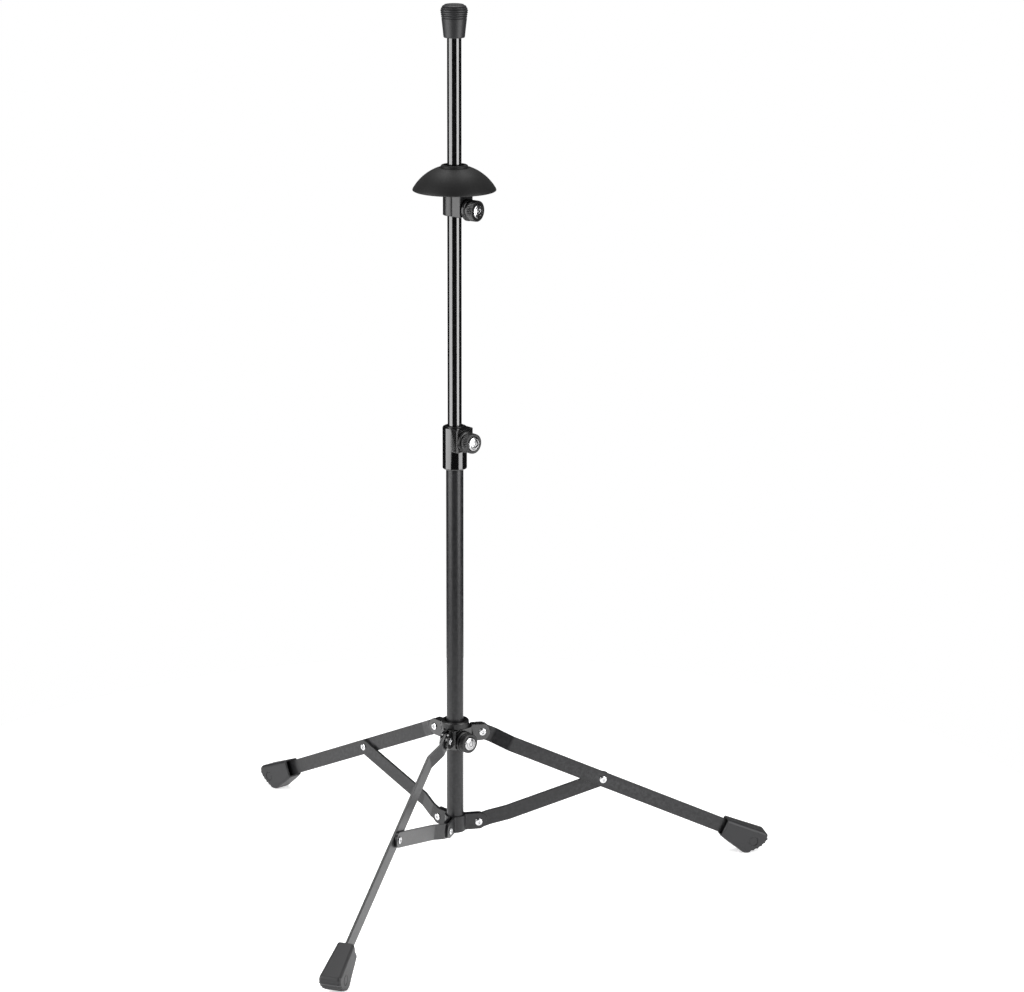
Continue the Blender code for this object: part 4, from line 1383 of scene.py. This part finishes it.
@dataclass
class Foot:
    """A rubber foot in its leg's frame: hollow mouth, full round edges and a ribbed toe."""

    mouth: float = 0.3246
    insert: float = 0.0280
    offset: float = LEG_OFFSET
    slope: float = LEG_SLOPE
    pivot_r: float = LEG_PIVOT[0]
    pivot_z: float = LEG_PIVOT[1]
    sole: Point = (0.3520, 0.3595)
    mouth_half: float = 0.0098
    toe_half: float = 0.0130
    toe_reach: float = 0.3825
    length: float = 0.062
    edge: float = 0.0036
    wall: float = 0.0019
    cavity: float = 0.0120
    ribs: int = 6
    rib_depth: float = 0.0013
    ribbed: Point = (0.0555, 0.0905)
    ring_at: Point = (0.0430, -0.0020)
    ring_r: float = 0.0054
    ring_groove: float = 0.0006
    spine: tuple[Point, Point] = ((0.0060, 0.0000), (0.0450, -0.0025))

    def _corners(self) -> list[Corner]:
        """The side outline, along the strap and square to it, from the middle of the mouth."""
        cos, sin = math.cos(self.slope), math.sin(self.slope)
        mouth_r, mouth_z = self.pivot_r + self.mouth * cos, self.pivot_z - self.mouth * sin
        flat = [((r - mouth_r) * cos + mouth_z * sin, (r - mouth_r) * sin - mouth_z * cos, 0.0160)
                for r in self.sole[::-1]]
        return [(0.0025, 0.0110, 0.0008), (0.0300, 0.0124, 0.0200), (0.0540, 0.0136, 0.0036),
                (0.0590, 0.0106, 0.0030), (0.0600, 0.0050, 0.0040), (0.0575, -0.0025, 0.0080),
                (0.0545, -0.0080, 0.0080), *flat,
                (0.0300, -0.0181, 0.0150), (0.0120, -0.0139, 0.0200), (0.0025, -0.0111, 0.0008)]

    def _outline(self) -> list[Point]:
        """The outline in short steps, with the ribs across the toe."""
        coarse = soften(self._corners(), True, 6)
        dense: list[Vector] = []
        for here, ahead in zip(coarse, coarse[1:] + coarse[:1]):
            start, end = Vector(here), Vector(ahead)
            count = max(1, math.ceil((end - start).length / 0.0006))
            dense += [start.lerp(end, k / count) for k in range(count)]
        found, run = [], 0.0
        low, high = self.ribbed
        for index, place in enumerate(dense):
            before, after = dense[index - 1], dense[(index + 1) % len(dense)]
            run += (place - before).length if index else 0.0
            if low < run < high:
                along = (after - before).normalized()
                wave = abs(math.sin(math.pi * self.ribs * (run - low) / (high - low)))
                place = place + Vector((along.y, -along.x)) * (self.rib_depth * wave ** 0.8)
            found.append((place.x, place.y))
        return found

    def _half_width(self, point: Point) -> float:
        """The foot's half width at a point of its outline."""
        return self.mouth_half + (self.toe_half - self.mouth_half) * min(max(point[0] / self.length, 0), 1)

    def _local(self, point: Point, depth: float) -> Corner:
        """A point of the outline, at a signed depth, in the leg's frame."""
        return (self.mouth + point[0], self.offset + depth, point[1])

    def _towards_spine(self, point: Point, inset: float) -> Point:
        """A point of the outline drawn in towards the foot's middle line.

        Args:
            point: The point.
            inset: How far it is drawn in.

        Returns:
            The moved point.
        """
        here, start, end = Vector(point), Vector(self.spine[0]), Vector(self.spine[1])
        share = min(max((here - start).dot(end - start) / (end - start).length_squared, 0.0), 1.0)
        way = start.lerp(end, share) - here
        moved = here + way * (inset / way.length)
        return (moved.x, moved.y)

    def _body(self, bench: Bench) -> Mesh:
        """The foot's body: its outline swept across, with full round edges at both sides.

        Args:
            bench: Where meshes are made.

        Returns:
            The mesh.
        """
        outline, steps, bm = self._outline(), 7, bmesh.new()
        rows = []
        for side in (-1, 1):
            for k in range(steps + 1):
                turn = math.pi / 2 * (k if side > 0 else steps - k) / steps
                inset, back = self.edge * (1 - math.cos(turn)), self.edge * (1 - math.sin(turn))
                row = []
                for point in outline:
                    drawn = self._towards_spine(point, inset)
                    row.append(bm.verts.new(self._local(drawn, side * (self._half_width(drawn) - back))))
                rows.append(row)
        bm.faces.new(rows[0])
        bm.faces.new(list(reversed(rows[-1])))
        for low, high in zip(rows, rows[1:]):
            for i in range(len(outline)):
                j = (i + 1) % len(outline)
                bm.faces.new((low[j], low[i], high[i], high[j]))
        bmesh.ops.triangulate(bm, faces=bm.faces)
        return bench.finish(bm, "foot")

    def mesh(self, bench: Bench) -> Mesh:
        """The foot's mesh.

        Args:
            bench: Where meshes are made.

        Returns:
            The mesh.
        """
        mouth_half = self.mouth_half - self.wall
        hollow = soften([(-0.01, -0.0096), (self.cavity, -0.0096, 0.002), (self.cavity, 0.0096, 0.002),
                         (-0.01, 0.0096)], True, 4)
        deep, half_y, half_z = self.insert + GAP, 0.0015 + GAP, 0.0090 + GAP
        shallow = self.cavity - 0.002
        pocket = [(shallow, -half_z), (deep, -half_z), (deep, half_z), (shallow, half_z)]
        cuts = [bench.prism("cavity", hollow, lambda p: mouth_half, self._local),
                bench.prism("pocket", pocket, lambda p: half_y, self._local)]
        for side in (-1, 1):
            section = arc((self.ring_r, 0.0), (self.ring_groove, self.ring_groove), 0, 345, 23)
            ring = bench.turned("ring", section, 48, closed=True)
            centre = self._local(self.ring_at, side * self._half_width(self.ring_at))
            ring.transform(Matrix.Translation(centre) @ Matrix.Rotation(math.pi / 2, 4, "X"))
            cuts.append(ring)
        return bench.joined(self._body(bench), cuts, "DIFFERENCE")


@dataclass
class FoldingBase:
    """The three legs, struts and feet, with the rivet where each pair crosses."""

    a_r: float = LEG_PIVOT[0]
    a_z: float = LEG_PIVOT[1]
    b_r: float = STRUT_PIVOT[0]
    b_z: float = STRUT_PIVOT[1]
    slope: float = LEG_SLOPE
    leg_to_c: float = 0.1614
    leg_offset: float = LEG_OFFSET
    strut_offset: float = -0.0051
    leg_jog: Point = (0.0150, 0.0370)
    strut_jog: Point = (0.0140, 0.0360)
    thick: float = 0.0030

    def build(self, shop: Shop) -> None:
        """Builds the straps, feet and rivets of all three legs.

        Args:
            shop: Where pieces are made and placed.
        """
        bench, foot = shop.bench, Foot()
        c_r = self.a_r + self.leg_to_c * math.cos(self.slope)
        c_z = self.a_z - self.leg_to_c * math.sin(self.slope)
        strut_slope = math.atan2(c_z - self.b_z, c_r - self.b_r)
        strut_to_c = math.hypot(c_z - self.b_z, c_r - self.b_r)
        leg = Strap(foot.mouth + foot.insert, self.leg_jog, self.leg_offset)
        strut = Strap(strut_to_c + leg.half, self.strut_jog, self.strut_offset)
        leg_mesh = leg.mesh(bench, "leg", (0.0, self.leg_to_c))
        strut_mesh = strut.mesh(bench, "strut", (0.0, strut_to_c))
        foot_mesh = foot.mesh(bench)
        leg_outer = self.leg_offset - self.thick / 2 - GAP
        leg_pin = Rivet().mesh(bench, leg_outer, self.leg_offset + self.thick / 2 - 0.0001, high_head=False)
        strut_outer = self.strut_offset + self.thick / 2 + GAP
        strut_inner = self.strut_offset - self.thick / 2 + 0.0001
        strut_pin = Rivet().mesh(bench, strut_inner, strut_outer, low_head=False)
        for index, angle in enumerate(LEG_ANGLES, 1):
            on_leg = strap_frame(angle, self.a_r, self.a_z, self.slope)
            on_strut = strap_frame(angle, self.b_r, self.b_z, -strut_slope)
            cross = pin_frame(angle, c_r, c_z)
            leg_body, strut_body = f"leg_{index}", f"strut_{index}"
            shop.place(f"leg_strap_{index}", leg_mesh, SATIN_STEEL, leg_body, f"leg_{index}", on_leg)
            shop.place(f"foot_rubber_{index}", foot_mesh, GREY_RUBBER, leg_body, f"foot_{index}", on_leg, 40)
            shop.place(f"strut_strap_{index}", strut_mesh, SATIN_STEEL, strut_body, f"strut_{index}",
                       on_strut)
            shop.place(f"leg_rivet_bright_{index}", leg_pin, BRIGHT_RIVET, leg_body,
                       f"leg_rivet_{index}", cross)
            shop.place(f"strut_rivet_bright_{index}", strut_pin, BRIGHT_RIVET, strut_body,
                       f"strut_rivet_{index}", cross)


# ---------------------------------------------------------------- studio


@dataclass(frozen=True)
class Softbox:
    """A large soft light that faces the stand."""

    name: str
    heading: float
    distance: float
    height: float
    width: float
    tall: float
    radiance: float


@dataclass
class Studio:
    """The floor, the pale surround, the soft lights and the camera."""

    axis_x: float
    axis_y: float
    heading: float = 49.4794
    distance: float = 3.1906
    height: float = 1.3287
    pitch: float = 15.1986
    yaw: float = 1.1842
    roll: float = 0.2370
    lens: float = 100.84
    floor_r: float = 0.80
    floor_drop: float = 0.0004
    floor_glow: float = 0.50
    seen_white: float = 1.0
    fill: float = 0.15
    reflected: float = 0.02
    highest_target: float = 0.8
    sensor: float = 36.0
    lights: tuple[Softbox, ...] = (
        Softbox("left_softbox", -66, 1.15, 0.79, 1.18, 1.42, 5.2),
        Softbox("right_softbox", 57.5, 1.15, 0.79, 0.80, 1.42, 6.2),
        Softbox("top_softbox", 180, 0.9, 2.9, 1.8, 1.2, 6.0),
    )

    def _direction(self, offset: float) -> Vector:
        """The level direction from the stand towards the camera, turned by an offset in degrees."""
        angle = math.radians(self.heading + 180 + offset)
        return Vector((math.cos(angle), math.sin(angle), 0))

    def build(self) -> None:
        """Builds everything that isn't the stand."""
        self._floor()
        self._surround()
        for light in self.lights:
            self._light(light)
        self._camera()
        bpy.context.scene.view_settings.view_transform = "Standard"

    def _floor(self) -> None:
        """A pale matt floor."""
        bm = bmesh.new()
        bmesh.ops.create_circle(bm, cap_ends=True, segments=96, radius=self.floor_r)
        mesh = bpy.data.meshes.new("floor")
        bm.to_mesh(mesh)
        bm.free()
        material = bpy.data.materials.new("pale_floor")
        material.use_nodes = True
        shader = material.node_tree.nodes["Principled BSDF"]
        shader.inputs["Base Color"].default_value = (0.86, 0.86, 0.86, 1)
        shader.inputs["Roughness"].default_value = 0.9
        shader.inputs["Specular IOR Level"].default_value = 0.2
        shader.inputs["Emission Color"].default_value = (1, 1, 1, 1)
        shader.inputs["Emission Strength"].default_value = self.floor_glow
        mesh.materials.append(material)
        floor = bpy.data.objects.new("floor", mesh)
        floor.location = (self.axis_x, self.axis_y, -self.floor_drop)
        bpy.context.scene.collection.objects.link(floor)

    def _surround(self) -> None:
        """A white surround for the camera, dim for reflections and soft for fill."""
        world = bpy.data.worlds.new("surround")
        bpy.context.scene.world = world
        world.use_nodes = True
        tree = world.node_tree
        back = tree.nodes["Background"]
        back.inputs["Color"].default_value = (1, 1, 1, 1)
        path = tree.nodes.new("ShaderNodeLightPath")
        strength = tree.nodes.new("ShaderNodeMix")
        strength.inputs[2].default_value = self.fill
        strength.inputs[3].default_value = self.reflected
        tree.links.new(path.outputs["Is Glossy Ray"], strength.inputs[0])
        shown = tree.nodes.new("ShaderNodeMix")
        shown.inputs[3].default_value = self.seen_white
        tree.links.new(path.outputs["Is Camera Ray"], shown.inputs[0])
        tree.links.new(strength.outputs[0], shown.inputs[2])
        tree.links.new(shown.outputs[0], back.inputs["Strength"])

    def _light(self, box: Softbox) -> None:
        """One softbox, aimed at the stand.

        Args:
            box: Its size, place and strength.
        """
        data = bpy.data.lights.new(box.name, "AREA")
        data.shape = "RECTANGLE"
        data.size, data.size_y = box.width, box.tall
        data.energy = box.radiance * math.pi * box.width * box.tall
        light = bpy.data.objects.new(box.name, data)
        place = Vector((self.axis_x, self.axis_y, box.height)) + self._direction(box.heading) * box.distance
        target = Vector((self.axis_x, self.axis_y, min(box.height, self.highest_target)))
        light.location = place
        light.rotation_euler = (target - place).to_track_quat("-Z", "Y").to_euler()
        light.visible_camera = False
        bpy.context.scene.collection.objects.link(light)

    def _camera(self) -> None:
        """The camera, with the stand's column near the middle of its view."""
        towards = math.radians(self.heading - self.yaw)
        pitch, roll = math.radians(self.pitch), math.radians(self.roll)
        level = math.cos(pitch)
        forward = Vector((math.cos(towards) * level, math.sin(towards) * level, -math.sin(pitch)))
        right = Vector((math.sin(towards), -math.cos(towards), 0))
        up = right.cross(forward)
        right, up = right * math.cos(roll) + up * math.sin(roll), up * math.cos(roll) - right * math.sin(roll)
        data = bpy.data.cameras.new("camera")
        data.lens, data.sensor_width = self.lens, self.sensor
        camera = bpy.data.objects.new("camera", data)
        place = Vector((self.axis_x, self.axis_y, self.height)) + self._direction(0) * self.distance
        turn = Matrix((right, up, -forward)).transposed().to_4x4()
        camera.matrix_world = Matrix.Translation(place) @ turn
        bpy.context.scene.collection.objects.link(camera)
        bpy.context.scene.camera = camera


def column_axis(foot: Foot) -> Point:
    """Where the column stands, so that the origin is under the middle of the whole stand.

    Args:
        foot: The foot, whose reach, width and offset set the stand's outline.

    Returns:
        The column's x and y.
    """
    across_toe = (foot.toe_half - foot.offset) * math.cos(math.radians(30))
    return (-foot.offset / 2, -(foot.toe_reach / 2 - across_toe) / 2)


def main() -> None:
    """Loads the frame, builds and dresses every piece, and sets up the studio."""
    logging.basicConfig(level=logging.INFO, format="%(name)s: %(message)s")
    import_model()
    x, y = column_axis(Foot())
    shop = Shop(axis=Matrix.Translation((x, y, 0)))
    column, clutch, bell, collar = Column(), Clutch(), BellRest(), LegCollar()
    column.build(shop)
    clutch.build(shop, column)
    Clamp("clutch", clutch.screw_z, column.rod_r, clutch.boss_face, 0.0006, 0.0145).build(shop)
    bell.build(shop)
    Clamp("bell", bell.screw_z, column.rod_r, bell.boss_face, 0.0020, 0.0145, BELL_TURN,
          drum_r=0.0119, waist_r=0.0106).build(shop)
    RubberTip().build(shop)
    BasePlates().build(shop)
    collar.build(shop)
    Clamp("collar", collar.screw_z, column.tube_r, collar.face, 0.0006, 0.0115).build(shop)
    FoldingBase().build(shop)
    Studio(x, y).build()
    LOG.info("%d pieces in all", shop.done)


if __name__ == "__main__":
    main()
